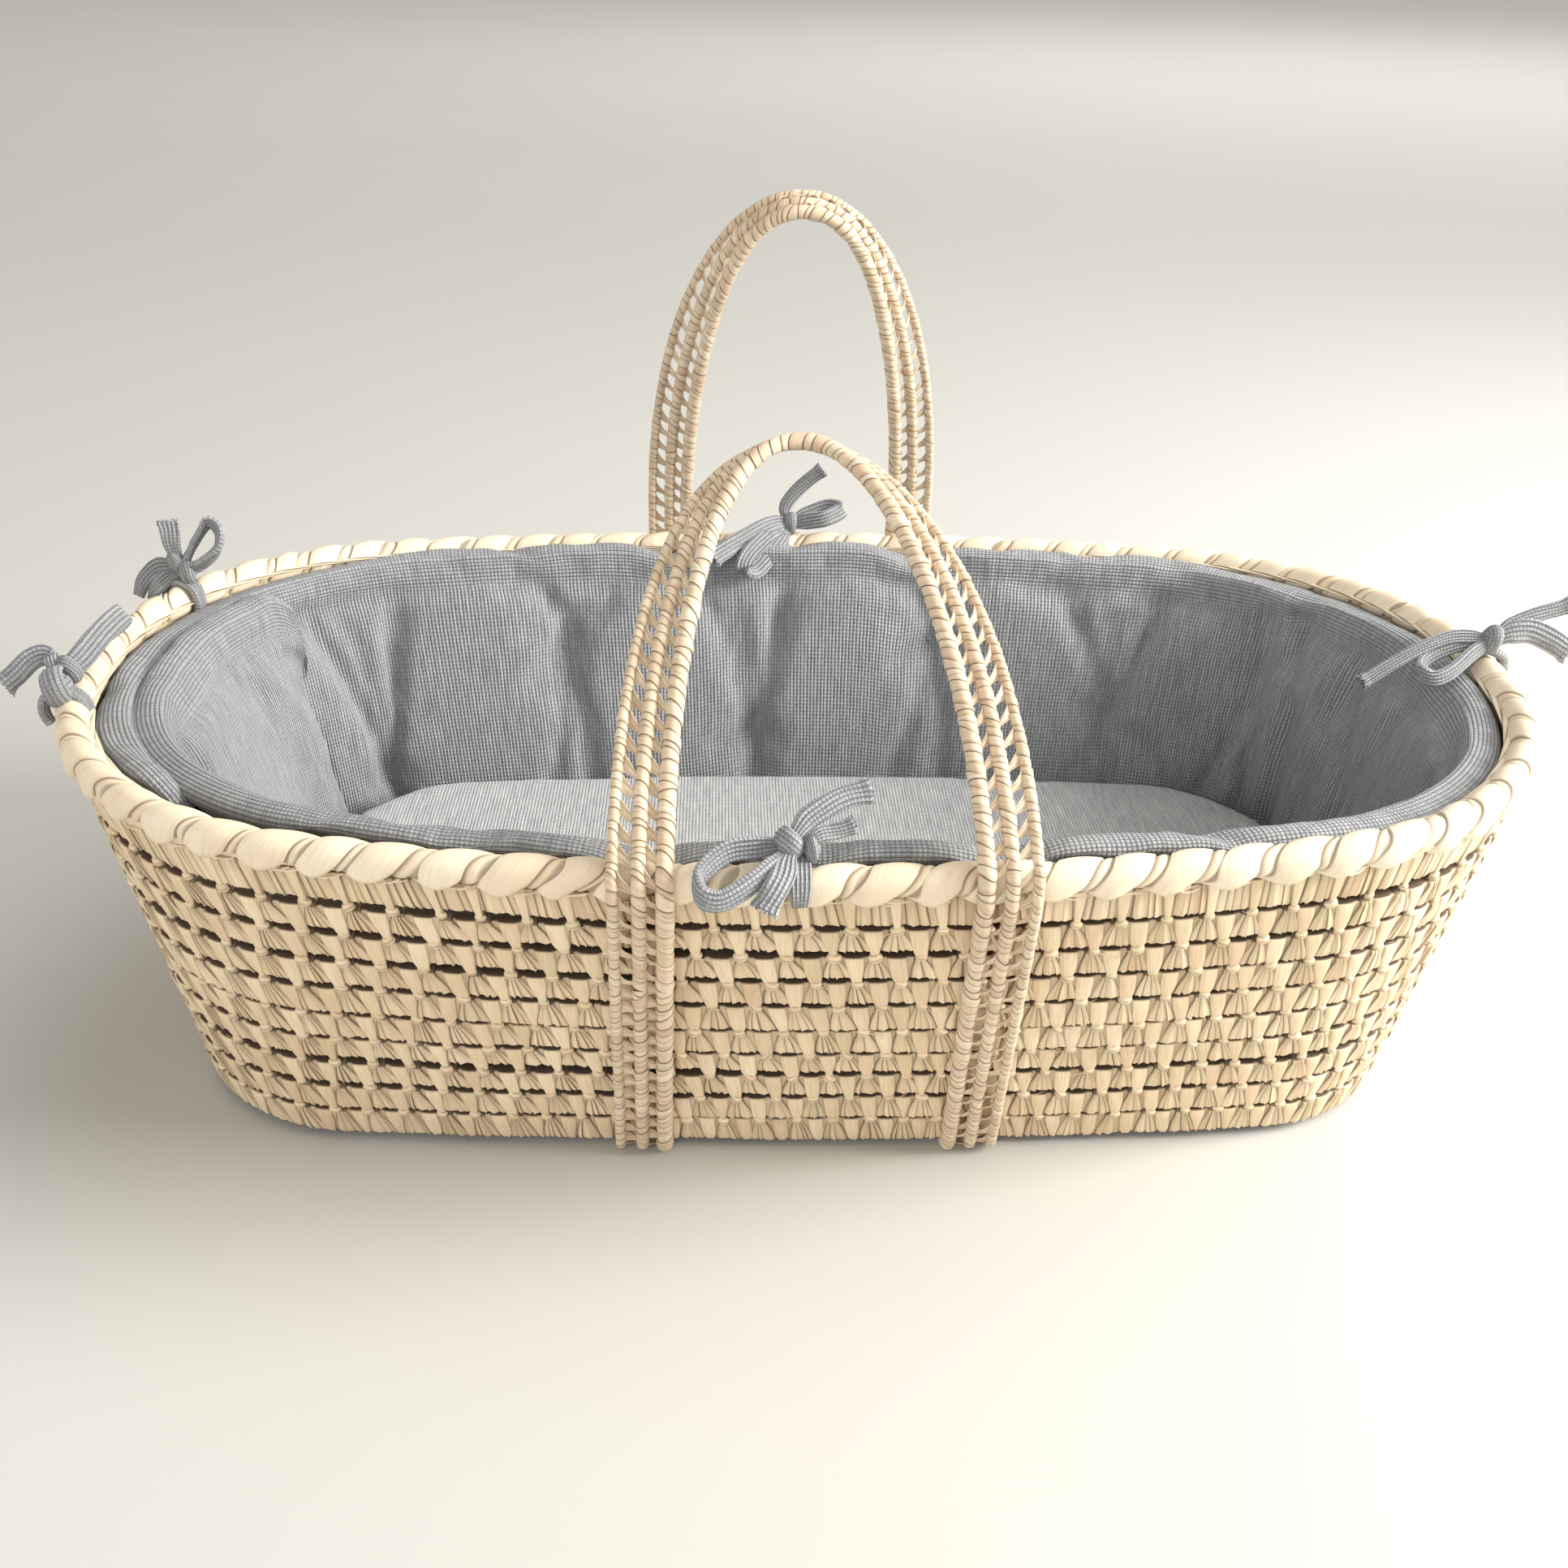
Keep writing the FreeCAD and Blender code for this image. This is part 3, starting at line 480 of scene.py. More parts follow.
class Course:
    """One course of the weave: where it lies, its section and how its fans open."""

    def __init__(self, oval, height, lean, half_height, depth, skirt=False, bridged=True):
        self.oval, self.height, self.lean = oval, height, lean
        self.half_height, self.depth, self.skirt, self.bridged = half_height, depth, skirt, bridged

    def place(self, share, up, out):
        """Points at shares round the course, a distance up its slope and out from it."""
        x, y, nx, ny = self.oval.at(share)
        along_up = math.sin(self.lean) * up + math.cos(self.lean) * out
        z = self.height + math.cos(self.lean) * up - math.sin(self.lean) * out
        return np.stack([x + nx * along_up, y + ny * along_up, z + 0 * x], -1)


def weave(piece, course, origins, rng, gaps):
    """Adds one course of fans and tongues. Returns where its knots are, as next origins."""
    count = len(origins)
    pitch = 1.0 / count
    rows = FRONT_ROWS + BACK_ROWS
    v = np.concatenate([FRONT_FALL, BACK_FALL])
    bulge = np.concatenate([FRONT_BULGE, BACK_BULGE])[None, None]
    front = np.arange(rows) < FRONT_ROWS
    v = v[None]
    spread = rng.uniform(0.9, 1.1, (count, 1))
    skew = rng.normal(0.13, 0.04, (count, 1))
    opening = 1 - (1 - v) ** 1.5
    if course.skirt:
        half = (0.33 + 0.05 * v) * spread
        tongue_half = (0.16 - 0.08 * v**1.5) * rng.uniform(0.8, 1.15, (count, 1))
    else:
        half = (0.125 + 0.235 * opening) * spread
        tongue_half = (0.235 - 0.03 * v) * (1 - 0.45 * smooth((v - 0.78) / 0.22))
    shift = skew * v
    left, right = shift - half, shift + half
    gap_here = rng.normal(0, 0.02, (count, 1)) * v
    next_left = 1 + np.roll(left, -1, axis=0) + (np.roll(origins, -1) - origins - pitch)[:, None] / pitch
    next_left[-1] = 1 + left[0] + (origins[0] + 1 - origins[-1] - pitch) / pitch
    middle = 0.5 * (right + next_left) + gap_here
    tongue_half = np.minimum(tongue_half, 0.485 * (next_left - right))
    widths = rng.uniform(0.6, 1.4, (count, PLEATS))
    edges = np.concatenate([np.zeros((count, 1)), np.cumsum(widths, axis=1)], 1)
    edges /= edges[:, -1:]
    flip = rng.random((count, PLEATS)) < 0.35
    lift_size = rng.uniform(0.4, 1.2, (count, PLEATS)) * PLEAT_LIFT
    # How dark each pleat's crease is painted with shade
    crease_shade = rng.uniform(0.25, 0.95, (count, PLEATS))
    fan_tone = rng.random((count, 1)) * 0.5
    cell_hue = rng.random((count, 1))
    columns, lifts, tones, grains, spans = [], [], [], [], []
    zero = np.zeros((count, rows))
    slot_shade = 1.0 - smooth((v - 0.02) / 0.015)

    def column(where, lift, tone, shade, hue, across, ident, span=1.0):
        spans.append(span)
        columns.append(where + zero)
        lifts.append(lift + zero)
        tones.append(side_by_side(zero, tone, shade, hue))
        grains.append(side_by_side(zero, across, v * 0.02, ident * LEAF_APART))

    for k in range(PLEATS):
        tone = np.clip(fan_tone + rng.random((count, 1)) * 0.55, 0, 1)
        ident = rng.random((count, 1))
        for t in PLEAT_STEPS:
            place = edges[:, k : k + 1] * (1 - t) + edges[:, k + 1 : k + 2] * t
            rising = np.where(flip[:, k : k + 1], 1 - t, t)
            edge = 1 - (2 * place - 1) ** 6
            lift = lift_size[:, k : k + 1] * rising * (0.35 + 0.65 * v) * edge
            lift = lift + FAN_TOP_LIFT * (1 - v) ** 2 * (not course.skirt)
            shade = np.where(rising < 0.1, 1.0, np.where(rising < 0.4, 0.15, 0.0)) * crease_shade[:, k : k + 1]
            shade = shade + 0.28 * (1 - v) ** 2 + 0.35 * (1 - edge) + 0.4 * slot_shade
            column(left + (right - left) * place, lift, tone, shade, cell_hue, place * 16 * MM, ident)
    tone_side = rng.random((count, 1))
    gusset = rng.random((count, 1))

    def gussets(start, stop):
        for t in GUSSET_STEPS:
            where = start + (stop - start) * t
            column(where, GUSSET_LIFT, tone_side, 0.28 + slot_shade, cell_hue, t * 3 * MM, gusset)

    gussets(right, middle - tongue_half)
    tone = rng.random((count, 1)) * 0.8
    ident = rng.random((count, 1))
    tongue_hue = rng.random((count, 1))
    for t in TONGUE_STEPS:
        bow = 1 - (2 * t - 1) ** 2
        edge = 1.0 if 0.05 < t < 0.95 else 0.0
        lift = (-0.3 + edge * (0.55 + 0.40 * bow + 0.2 * v)) * MM
        shade = 0.50 * (1 - edge) + 0.12 * v**3 + slot_shade
        span = 0.15 if course.bridged else 1.0
        column(middle + tongue_half * (2 * t - 1), lift, tone, shade, tongue_hue, t * 9 * MM, ident, span)
    gussets(middle + tongue_half, next_left)

    where = np.stack(columns, 1)
    lift = np.stack(lifts, 1)
    tones = np.stack(tones, 1)
    grains = np.stack(grains, 1)
    share = origins[:, None, None] + where * pitch
    gap = gaps(share) * np.array(spans)[None, :, None]
    fall = v[None]
    up = course.half_height * (1 - 2 * fall * (1 - gap))
    out = course.depth * bulge
    lift = np.where(front[None, None], lift * np.clip(bulge * 1.6, 0, 1), BACK_LIFT)
    ragged = rng.normal(0, RAGGED, (count, where.shape[1], 1))
    up = up + ragged * np.clip(fall * 3 - 2, 0, 1)
    out = out + lift
    points = course.place(share, up + course.wobble_up(share), out + course.wobble_out(share))
    # The back rows, inside the wall, and the underside of each course's foot are painted with shade.
    tones[..., 1] = np.where(front[None, None], tones[..., 1], 0.85)
    under = (np.arange(rows) == FRONT_ROWS - 1)[None, None]
    tones[..., 1] = np.clip(tones[..., 1] + 0.6 * under, 0, 1)
    total = count * where.shape[1]
    faces = [f[:, ::-1] for f in grid_faces(total, rows, wrap_columns=True, wrap_rows=True)]
    piece.add(rise(points.reshape(-1, 3)), faces, tones.reshape(-1, 3), grains.reshape(-1, 3))
    return origins + middle[:, FRONT_ROWS - 1] * pitch


KNOT_SIZE, KNOT_DROP, KNOT_STRAY = np.array([3.8, 2.6, 2.7]) * MM, 0.3 * MM, 0.35 * MM
FIBRE_SHARE, FIBRE_DROP = 0.4, 0.8 * MM


def knot_shape():
    """A small bun with three wraps, wider than it is high."""
    around, over = 10, 9
    turn = np.arange(around) * TAU / around
    rise_at = np.linspace(-math.pi / 2 * 0.93, math.pi / 2 * 0.93, over)
    turn, tilt = np.meshgrid(turn, rise_at, indexing="ij")
    groove = 1 - 0.16 * np.abs(np.cos(3 * tilt))
    x = np.cos(turn) * np.cos(tilt) * groove
    z = np.sin(tilt)
    y = np.sin(turn) * np.cos(tilt) * groove
    points = np.stack([x, y, z], -1)
    poles = np.array([[0, 0, -1.0], [0, 0, 1.0]])
    first = np.arange(around)
    n = around * over
    low = np.stack([np.full(around, n), (first + 1) % around * over, first * over], 1)
    top = over - 1
    high = np.stack([np.full(around, n + 1), first * over + top, (first + 1) % around * over + top], 1)
    shade = 0.5 * (groove < 0.9).astype(float)
    shade = np.concatenate([shade.ravel(), [0.3, 0.3]])
    faces = grid_faces(around, over, wrap_columns=True)
    return np.concatenate([points.reshape(-1, 3), poles]), faces + [low, high], shade


KNOT = knot_shape()


def add_knots(piece, course, where, rng, gaps):
    """Knots at the foot of each tongue, and here and there a loose fibre."""
    count = len(where)
    shape, faces, shade = KNOT
    size = rng.uniform(0.85, 1.2, (count, 1, 1)) * KNOT_SIZE
    local = shape[None] * size
    lean = rng.normal(0.0, 0.25, (count, 1))
    across = local[..., 0] * np.cos(lean) - local[..., 2] * np.sin(lean)
    up = local[..., 0] * np.sin(lean) + local[..., 2] * np.cos(lean)
    up = up - course.half_height * (1 - 0.5 * gaps(where))[:, None] - KNOT_DROP
    out = local[..., 1] + course.depth + rng.normal(0, KNOT_STRAY, (count, 1))
    share = where[:, None] + across / course.oval.length
    up = up + course.wobble_up(share)
    out = out + course.wobble_out(share)
    points = rise(course.place(share, up, out))
    tone = rng.random((count, 1)) * 0.6
    zero = np.zeros(up.shape)
    tones = side_by_side(zero, tone, shade[None], rng.random((count, 1)))
    grains = side_by_side(zero, local[..., 2] * 2, local[..., 0], rng.random((count, 1)) * 11)
    for k in range(count):
        piece.add(points[k], faces, tones[k], grains[k])
    for k in np.flatnonzero(rng.random(count) < FIBRE_SHARE):
        length = rng.uniform(5, 14) * MM
        t = np.linspace(0, 1, 7)
        bend = rng.normal(0, 3.0) * MM
        way = rng.choice([-1, 1])
        share = where[k] + way * t * length / course.oval.length
        up = -course.half_height - FIBRE_DROP + bend * t**2 - 1.5 * MM * t
        out = 0.9 * course.depth + rng.uniform(0.2, 1.6) * MM * t
        line = rise(course.place(share, up, out))
        tone = (rng.random(), 0.0, rng.random())
        add_fibre(piece, line, UPRIGHT, np.linspace(0.35, 0.12, 7) * MM, tone, (rng.random(), 0, 0))


# How wide the slot under each course is at its widest, as a share of the course's half height
SLOTS = {10: 0.20, 9: 0.34, 8: 0.30, 7: 0.22, 6: 0.08, 5: 0.14, 4: 0.36, 3: 0.26, 2: 0.12, 1: 0.0}


def wall_gaps(index):
    """How far a course's foot draws up from the next course, as a share of its half height."""
    rng = np.random.default_rng(300 + index)
    phases = rng.uniform(0, TAU, 4)
    slack = SLOTS[index]

    def gaps(share):
        wave = 0.5 + 0.5 * np.sin(TAU * 3 * share + phases[0]) * np.sin(TAU * 2 * share + phases[1])
        front_left = np.exp(-(((np.mod(share, 1.0) - 0.19) / 0.12) ** 2))
        return 0.03 + slack * (0.20 + 0.30 * wave + 0.55 * front_left)

    return gaps


def wobble(seed, size, counts):
    """A smooth small wave round a course, made of a few whole waves."""
    rng = np.random.default_rng(seed)
    phases = [(count, rng.uniform(0, TAU)) for count in counts]
    return lambda share: size * sum(np.sin(TAU * k * share + p) for k, p in phases) / len(phases)


def lay_wobble(course, index, up_size, out_size):
    """A hand-made course isn't quite even: it wavers up and down, and in and out."""
    course.wobble_up = wobble(500 + index, up_size, (3, 7, 13))
    course.wobble_out = wobble(700 + index, out_size, (4, 9, 23))


WALL_COURSES = 10
SKIRT_TOP, SKIRT_FOOT = 208.5 * MM, 183.5 * MM
WALL_DEPTH, WALL_FILL, WALL_WOBBLE, WALL_LOWEST = 4.3 * MM, 0.985, 0.7 * MM, 0.5 * MM


def weave_wall():
    """The wall's courses from the rim down, each standing for its CAD course."""
    origins = np.arange(STITCHES) / STITCHES
    pitch = (SKIRT_FOOT - WALL_BOTTOM) / (WALL_COURSES - 1)
    for index in range(WALL_COURSES, 0, -1):
        rng = np.random.default_rng(index)
        skirt = index == WALL_COURSES
        if skirt:
            height = 0.5 * (SKIRT_TOP + SKIRT_FOOT)
            half = 0.5 * (SKIRT_TOP - SKIRT_FOOT)
        else:
            height = WALL_BOTTOM + pitch * (index - 0.5)
            half = 0.5 * pitch / math.cos(WALL_LEAN)
        oval = wall_oval(height)
        course = Course(oval, height, WALL_LEAN, half * WALL_FILL, WALL_DEPTH, skirt, index > 1)
        lay_wobble(course, index, WALL_WOBBLE, WALL_WOBBLE)
        gaps = wall_gaps(index)
        piece = Piece()
        origins = weave(piece, course, origins, rng, gaps)
        if index > 1:
            add_knots(piece, course, origins, rng, gaps)
        for points in piece.points:
            points[:, 2] = np.maximum(points[:, 2], WALL_LOWEST)
        made = piece.build(f"woven_course_{index:02d}", WALL_LEAF, WEAVE_ANGLE)
        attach(made, "basket")
        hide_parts(f"wall_course_{index:02d}")


# ---------------------------------------------------------------- rim

RIM_WRAPS = 74
LOBE_STEPS = np.array([0.0, 0.04, 0.12, 0.22, 0.34, 0.46, 0.58, 0.70, 0.82, 0.92, 0.975, 1.0])
NECK_STEPS = np.array([0.10, 0.35, 0.65, 0.90])
RIM_SIDES = 26
# Radii in mm: under a lobe's edge, under a neck's edge, and where the loose fibres lie
LOBE_RADIUS, NECK_RADIUS, FRAY_RADIUS = 7.0, 6.9, 8.9
FRAY_ANGLE = -1.15


def wind_rim():
    """The rim's wide leaf strip: a lobe and a narrow neck for each turn round the coil."""
    rng = np.random.default_rng(41)
    oval = wall_oval(RIM_HEIGHT)
    turn = np.linspace(-math.pi, math.pi, RIM_SIDES, endpoint=False)[None]
    climb = turn / TAU
    pitch = 1.0 / RIM_WRAPS
    neck = np.clip(rng.normal(0.24, 0.05, RIM_WRAPS), 0.12, 0.36)[:, None]
    begin = (np.arange(RIM_WRAPS) + rng.normal(0, 0.07, RIM_WRAPS))[:, None]
    after = np.roll(begin, -1, axis=0)
    after[-1] += RIM_WRAPS
    foot = np.exp(-((turn + 0.95) / 0.5) ** 2)
    top = np.exp(-((turn - 0.9) / 0.8) ** 2)
    size = rng.uniform(0.85, 1.15, (RIM_WRAPS, 1))
    tone = rng.random((RIM_WRAPS, 1)) * 0.55
    hue = 0.3 + 0.4 * rng.random((RIM_WRAPS, 1))
    where, radius, tones, grains = [], [], [], []
    span = after - begin
    zero = np.zeros((RIM_WRAPS, RIM_SIDES))
    bow = rng.normal(0.0, 0.05, (RIM_WRAPS, 1)) * np.sin(2 * turn)
    for t in LOBE_STEPS:
        arch = math.sin(math.pi * t) ** 0.7 if 0 < t < 1 else 0.0
        edge = 0.0 if t in (0.0, 1.0) else 1.0
        fold = 1.5 * arch * size + 3.0 * foot * arch**1.3 * size + 0.3 * top * arch
        swell = LOBE_RADIUS + edge * (0.8 + fold)
        curl = 0.10 * foot * (0.5 - t)
        where.append(begin + (span * (1 - neck)) * t + curl + climb + bow + zero)
        radius.append(swell * MM + zero)
        shade = 0.65 * (1 - edge) + 0.12 * (t > 0.9)
        tones.append(side_by_side(zero, tone + 0.25 * t, shade, hue))
        grains.append(side_by_side(zero, t * 24 * MM, turn * 9 * MM, begin * 3.7))
    for t in NECK_STEPS:
        edge = 0.0 if t in (0.10, 0.90) else 1.0
        swell = NECK_RADIUS + 0.7 * edge + 0.3 * top
        where.append(begin + span * (1 - neck) + span * neck * t + climb + bow + zero)
        radius.append(swell * MM + zero)
        shade = 0.5 * (1 - edge) + 0.25 * foot
        tones.append(side_by_side(zero, tone + 0.45, shade, hue))
        grains.append(side_by_side(zero, t * 9 * MM, turn * 9 * MM, begin * 5.1))
    where = np.stack(where, 1) * pitch
    radius = np.stack(radius, 1)
    across = where.shape[1]
    x, y, nx, ny = oval.at(where)
    out = radius * np.cos(turn)[None]
    up = radius * np.sin(turn)[None]
    points = np.stack([x + nx * out, y + ny * out, RIM_HEIGHT + up], -1)
    points = rise(points.reshape(-1, 3))
    faces = grid_faces(RIM_WRAPS * across, RIM_SIDES, wrap_columns=True, wrap_rows=True, shift=-across)
    piece = Piece()
    piece.add(points, [f[:, ::-1] for f in faces], np.stack(tones, 1), np.stack(grains, 1))
    for k in range(RIM_WRAPS):
        fray(piece, oval, (begin[k, 0] + span[k, 0] * (1 - 0.5 * neck[k, 0])) * pitch, rng)
    made = piece.build("rim_winding", RIM_LEAF, 38)
    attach(made, "basket")
    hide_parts("rim_wrap")


def fray(piece, oval, share, rng):
    """Three fibres that cross under the rim at a neck."""
    for _ in range(3):
        length = rng.uniform(8, 17) * MM
        t = np.linspace(0, 1, 8)
        start = share + (rng.uniform(-9, 1) * MM - length * 0.5) / oval.length - 0.0035
        x, y, nx, ny = oval.at(start + t * length / oval.length)
        sag = rng.uniform(0.5, 2.5) * MM * np.sin(math.pi * t) + rng.uniform(-1.0, 1.5) * MM * t
        angle = FRAY_ANGLE + rng.uniform(-0.15, 0.25)
        out = FRAY_RADIUS * MM * math.cos(angle) + 0.4 * MM * np.sin(3 * t)
        z = RIM_HEIGHT + FRAY_RADIUS * MM * math.sin(angle) - sag
        line = rise(np.stack([x + nx * out, y + ny * out, z], -1))
        radius = rng.uniform(0.3, 0.6) * MM
        # The fibres under the rim take a little painted shade.
        add_fibre(piece, line, UPRIGHT, radius, (rng.random(), 0.1, 0.5), (rng.random(), 0, 0))


# ---------------------------------------------------------------- base

BASE_COURSES = 6
BASE_PITCH, BASE_WIDTH, BASE_THICKNESS = 22.4 * MM, 22.3 * MM, 10 * MM
STRAP_HALF_SPAN = 92 * MM
CHANNEL_HALF, CHANNEL_TOP = 17.8 * MM, 6.5 * MM
BASE_INSET, BASE_STITCH, BASE_DEPTH, BASE_LOWEST = 16.35 * MM, 21 * MM, 3.6 * MM, 0.3 * MM
BASE_GAP = 0.06


def over_straps(points):
    """The base passes over the two straps that cross under it."""
    near = np.abs(np.abs(points[:, 0]) - STRAP_HALF_SPAN) < CHANNEL_HALF
    points[near, 2] = np.maximum(points[near, 2], CHANNEL_TOP)
    points[:, 2] = np.clip(points[:, 2], BASE_LOWEST, BASE_THICKNESS - 0.05 * MM)
    return points


def weave_base():
    """Six flat courses, their stitches facing down."""
    sizes = wall_sizes(WALL_BOTTOM)
    for index in range(BASE_COURSES):
        rng = np.random.default_rng(60 + index)
        length, width, corner, side, end = [size - BASE_INSET - index * BASE_PITCH for size in sizes]
        oval = Oval(length, width, max(corner, 0.6 * width), side, end)
        stitches = int(round(oval.length / BASE_STITCH))
        course = Course(oval, 0.5 * BASE_THICKNESS, math.radians(90), 0.49 * BASE_WIDTH, BASE_DEPTH)
        lay_wobble(course, 30 + index, 0.3 * MM, 0.2 * MM)
        piece = Piece()
        origins = (np.arange(stitches) + 0.5 * (index % 2)) / stitches
        shallow = lambda share: BASE_GAP + 0 * share
        knots = weave(piece, course, origins, rng, shallow)
        add_knots(piece, course, knots, rng, shallow)
        piece.points = [over_straps(p) for p in piece.points]
        name = f"base_course_{index + 1}"
        made = piece.build(f"woven_{name}", WALL_LEAF, WEAVE_ANGLE)
        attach(made, "basket")
        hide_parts(name)


# ---------------------------------------------------------------- handles and straps

CORD_PITCH = 12.2 * MM
CORD_RADII = {-1: 4.4 * MM, 0: 3.7 * MM, 1: 2.9 * MM}
HANDLE_HALF_SPAN, HANDLE_HEIGHT, HANDLE_ROUNDNESS = 87 * MM, 245 * MM, 2.12
PIVOT_OUT, PIVOT_HEIGHT = 249.6 * MM, 225 * MM
STRAP_TOP, STRAP_HIGH, STRAP_RUN = 220.2 * MM, 208.2 * MM, 3 * MM
STRAP_FOOT_OUT, STRAP_CUT = 174 * MM, 150 * MM
STRAP_LOWEST, STRAP_FLAT_BELOW, STRAP_HALF_THICKNESS = 0.15 * MM, 12 * MM, 2.75 * MM
LINK_PITCH = 11.6 * MM
CORD_ANGLE = 45


class Handle:
    """A carrying handle: its side, its lean, its sway to one end and the turn of its band."""

    def __init__(self, name, sign, lean, sway, twist):
        self.name, self.sign, self.lean = name, sign, math.radians(lean)
        self.sway, self.twist = sway * MM, math.radians(twist)


HANDLES = [Handle("front", -1, 52.6, -9, 58), Handle("back", 1, 16.8, 1, 90)]


def arch_point(angle):
    """The middle cord's arch, upright and about its own middle, at angles from 0 to pi."""
    power = 2.0 / HANDLE_ROUNDNESS
    cosine = np.cos(angle)
    across = -np.sign(cosine) * np.abs(cosine) ** power
    up = np.maximum(np.sin(angle), 0.0) ** power
    return np.stack([HANDLE_HALF_SPAN * across, 0 * up, HANDLE_HEIGHT * up], -1)


def arch_line(handle, place, angle):
    """One cord's centreline round a handle's arch, in the frame."""
    step = 0.01
    run = arch_point(np.minimum(angle + step, math.pi)) - arch_point(np.maximum(angle - step, 0.0))
    run /= np.linalg.norm(run, axis=1, keepdims=True)
    outward = np.stack([-run[:, 2], 0 * angle, run[:, 0]], -1)
    turn = handle.twist * smooth(np.minimum(angle, math.pi - angle) / (math.pi / 2))
    offset = outward * np.cos(turn)[:, None] + np.array([0.0, 1.0, 0.0]) * np.sin(turn)[:, None]
    point = arch_point(angle)
    point[:, 0] += handle.sway * (point[:, 2] / HANDLE_HEIGHT) ** 2
    point = point + offset * (place * CORD_PITCH)
    lean = handle.sign * handle.lean
    y = point[:, 1] * math.cos(lean) - point[:, 2] * math.sin(lean)
    z = point[:, 1] * math.sin(lean) + point[:, 2] * math.cos(lean)
    return np.stack([point[:, 0], handle.sign * PIVOT_OUT + y, PIVOT_HEIGHT + z], -1)


def strap_side(side, place, sign, z):
    """A strap cord's line up the wall at heights z, on the front or the back."""
    share = (z - STRAP_RUN) / (STRAP_HIGH - STRAP_RUN)
    low = side * STRAP_HALF_SPAN + side * place * CORD_PITCH
    high = side * HANDLE_HALF_SPAN + side * place * CORD_PITCH
    x = mix(low, high, np.clip(share, 0, 1))
    y = sign * mix(STRAP_FOOT_OUT, PIVOT_OUT, np.clip(share, 0, 1))
    return np.stack([x, y, z], -1)


def handle_line(handle, place):
    """Strap, arch and strap: one cord from the cut on the left side to that on the right."""
    z = np.linspace(STRAP_CUT, STRAP_TOP, 80)
    angle = np.linspace(0.004, math.pi - 0.004, 900)
    up = strap_side(-1, place, handle.sign, z)
    down = strap_side(1, place, handle.sign, z)[::-1]
    line = np.concatenate([up, arch_line(handle, place, angle), down])
    return settle(line)


def strap_line(side, place):
    """Down the front from the cut, under the base and up the back to the cut."""
    z = np.linspace(STRAP_CUT, STRAP_RUN, 160)
    front = strap_side(side, place, -1, z)
    x = side * (STRAP_HALF_SPAN + place * CORD_PITCH)
    y = np.linspace(-STRAP_FOOT_OUT, STRAP_FOOT_OUT, 360)[1:-1]
    under = np.stack([x + 0 * y, y, STRAP_RUN + 0 * y], -1)
    back = strap_side(side, place, 1, z)[::-1]
    return settle(np.concatenate([front, under, back]), passes=60)


def settle(line, passes=25):
    """Even steps along a line, with its corners eased."""
    reach = reach_of(line)
    count = int(reach[-1] / (1.0 * MM))
    line = along_line(line, reach, np.linspace(0, reach[-1], count))
    for _ in range(passes):
        line[1:-1] = 0.5 * line[1:-1] + 0.25 * (line[:-2] + line[2:])
    return line


WRAP_STEPS = (0.0, 0.07, 0.35, 0.68, 0.95)
WRAP_WIDTHS, WRAP_CHANCES = [3.0, 4.4, 5.8, 7.4], [0.2, 0.3, 0.3, 0.2]
CORD_SIDES = 14
WEB_THICKNESS = 0.45 * MM


def add_cord(piece, line, hint, radius, rng, flat):
    """A cord wound with leaf: each turn of leaf is a shallow swelling with a sharp groove."""
    reach = reach_of(line)
    _, across, face = frames_along(line, hint)
    starts = [0.0]
    while starts[-1] < reach[-1] - 4 * MM:
        starts.append(starts[-1] + rng.choice(WRAP_WIDTHS, p=WRAP_CHANCES) * MM)
    starts[-1] = reach[-1]
    starts = np.array(starts)
    count = len(starts) - 1
    length = np.diff(starts)
    turn = np.arange(CORD_SIDES) * TAU / CORD_SIDES
    lean = rng.normal(0.40, 0.22, count)
    swell = rng.normal(0.0, 0.045, count)
    tone = rng.random(count) * 0.75
    hue = rng.random(count)
    rings, tones, grains = [], [], []
    for k in range(count):
        for t in WRAP_STEPS:
            tilt = lean[k] * (1 - t) + lean[(k + 1) % count] * t
            where = starts[k] + t * length[k] + tilt * radius * np.cos(turn - 0.5)
            where = np.clip(where, 0, reach[-1])
            edge = 0.85 if t == 0.0 else 1.0
            body = 1.0 + swell[k] + 0.07 * math.sin(math.pi * t) - 0.06 * t
            centre, side, front = [along_line(values, reach, where) for values in (line, across, face)]
            ring = np.cos(turn)[:, None] * side + np.sin(turn)[:, None] * front
            rings.append(centre + radius * edge * body * ring)
            # Painted shade in the groove at the start of each turn, and a little just before the next
            shade = 0.95 if t == 0.0 else (0.35 if t == 0.95 else 0.0)
            tones.append(side_by_side(0 * turn, tone[k], shade, hue[k]))
            grains.append(side_by_side(0 * turn, t * length[k], turn * radius, k * 1.7))
    points = np.stack(rings)
    if flat:
        squeeze = np.minimum(1.0, STRAP_HALF_THICKNESS / radius)
        share = smooth((STRAP_FOOT_OUT - np.abs(points[..., 1])) / (8 * MM))
        z = points[..., 2]
        pressed = STRAP_RUN + (z - STRAP_RUN) * squeeze
        near = (z < STRAP_FLAT_BELOW) & (np.abs(points[..., 1]) < STRAP_FOOT_OUT)
        points[..., 2] = np.where(near, mix(z, pressed, share), z)
        points[..., 2] = np.maximum(points[..., 2], STRAP_LOWEST)
    n = len(rings)
    ends = np.stack([points[0].mean(0), points[-1].mean(0)])
    # The two end points take a middling tone and half painted shade.
    tones = np.concatenate([np.stack(tones).reshape(-1, 3), [[0.5, 0.5, 0.5]] * 2])
    grains = np.concatenate([np.stack(grains).reshape(-1, 3), [[0, 0, 0]] * 2])
    faces = grid_faces(n, CORD_SIDES, wrap_rows=True) + end_caps(n, CORD_SIDES)
    piece.add(np.concatenate([points.reshape(-1, 3), ends]), faces, tones, grains)


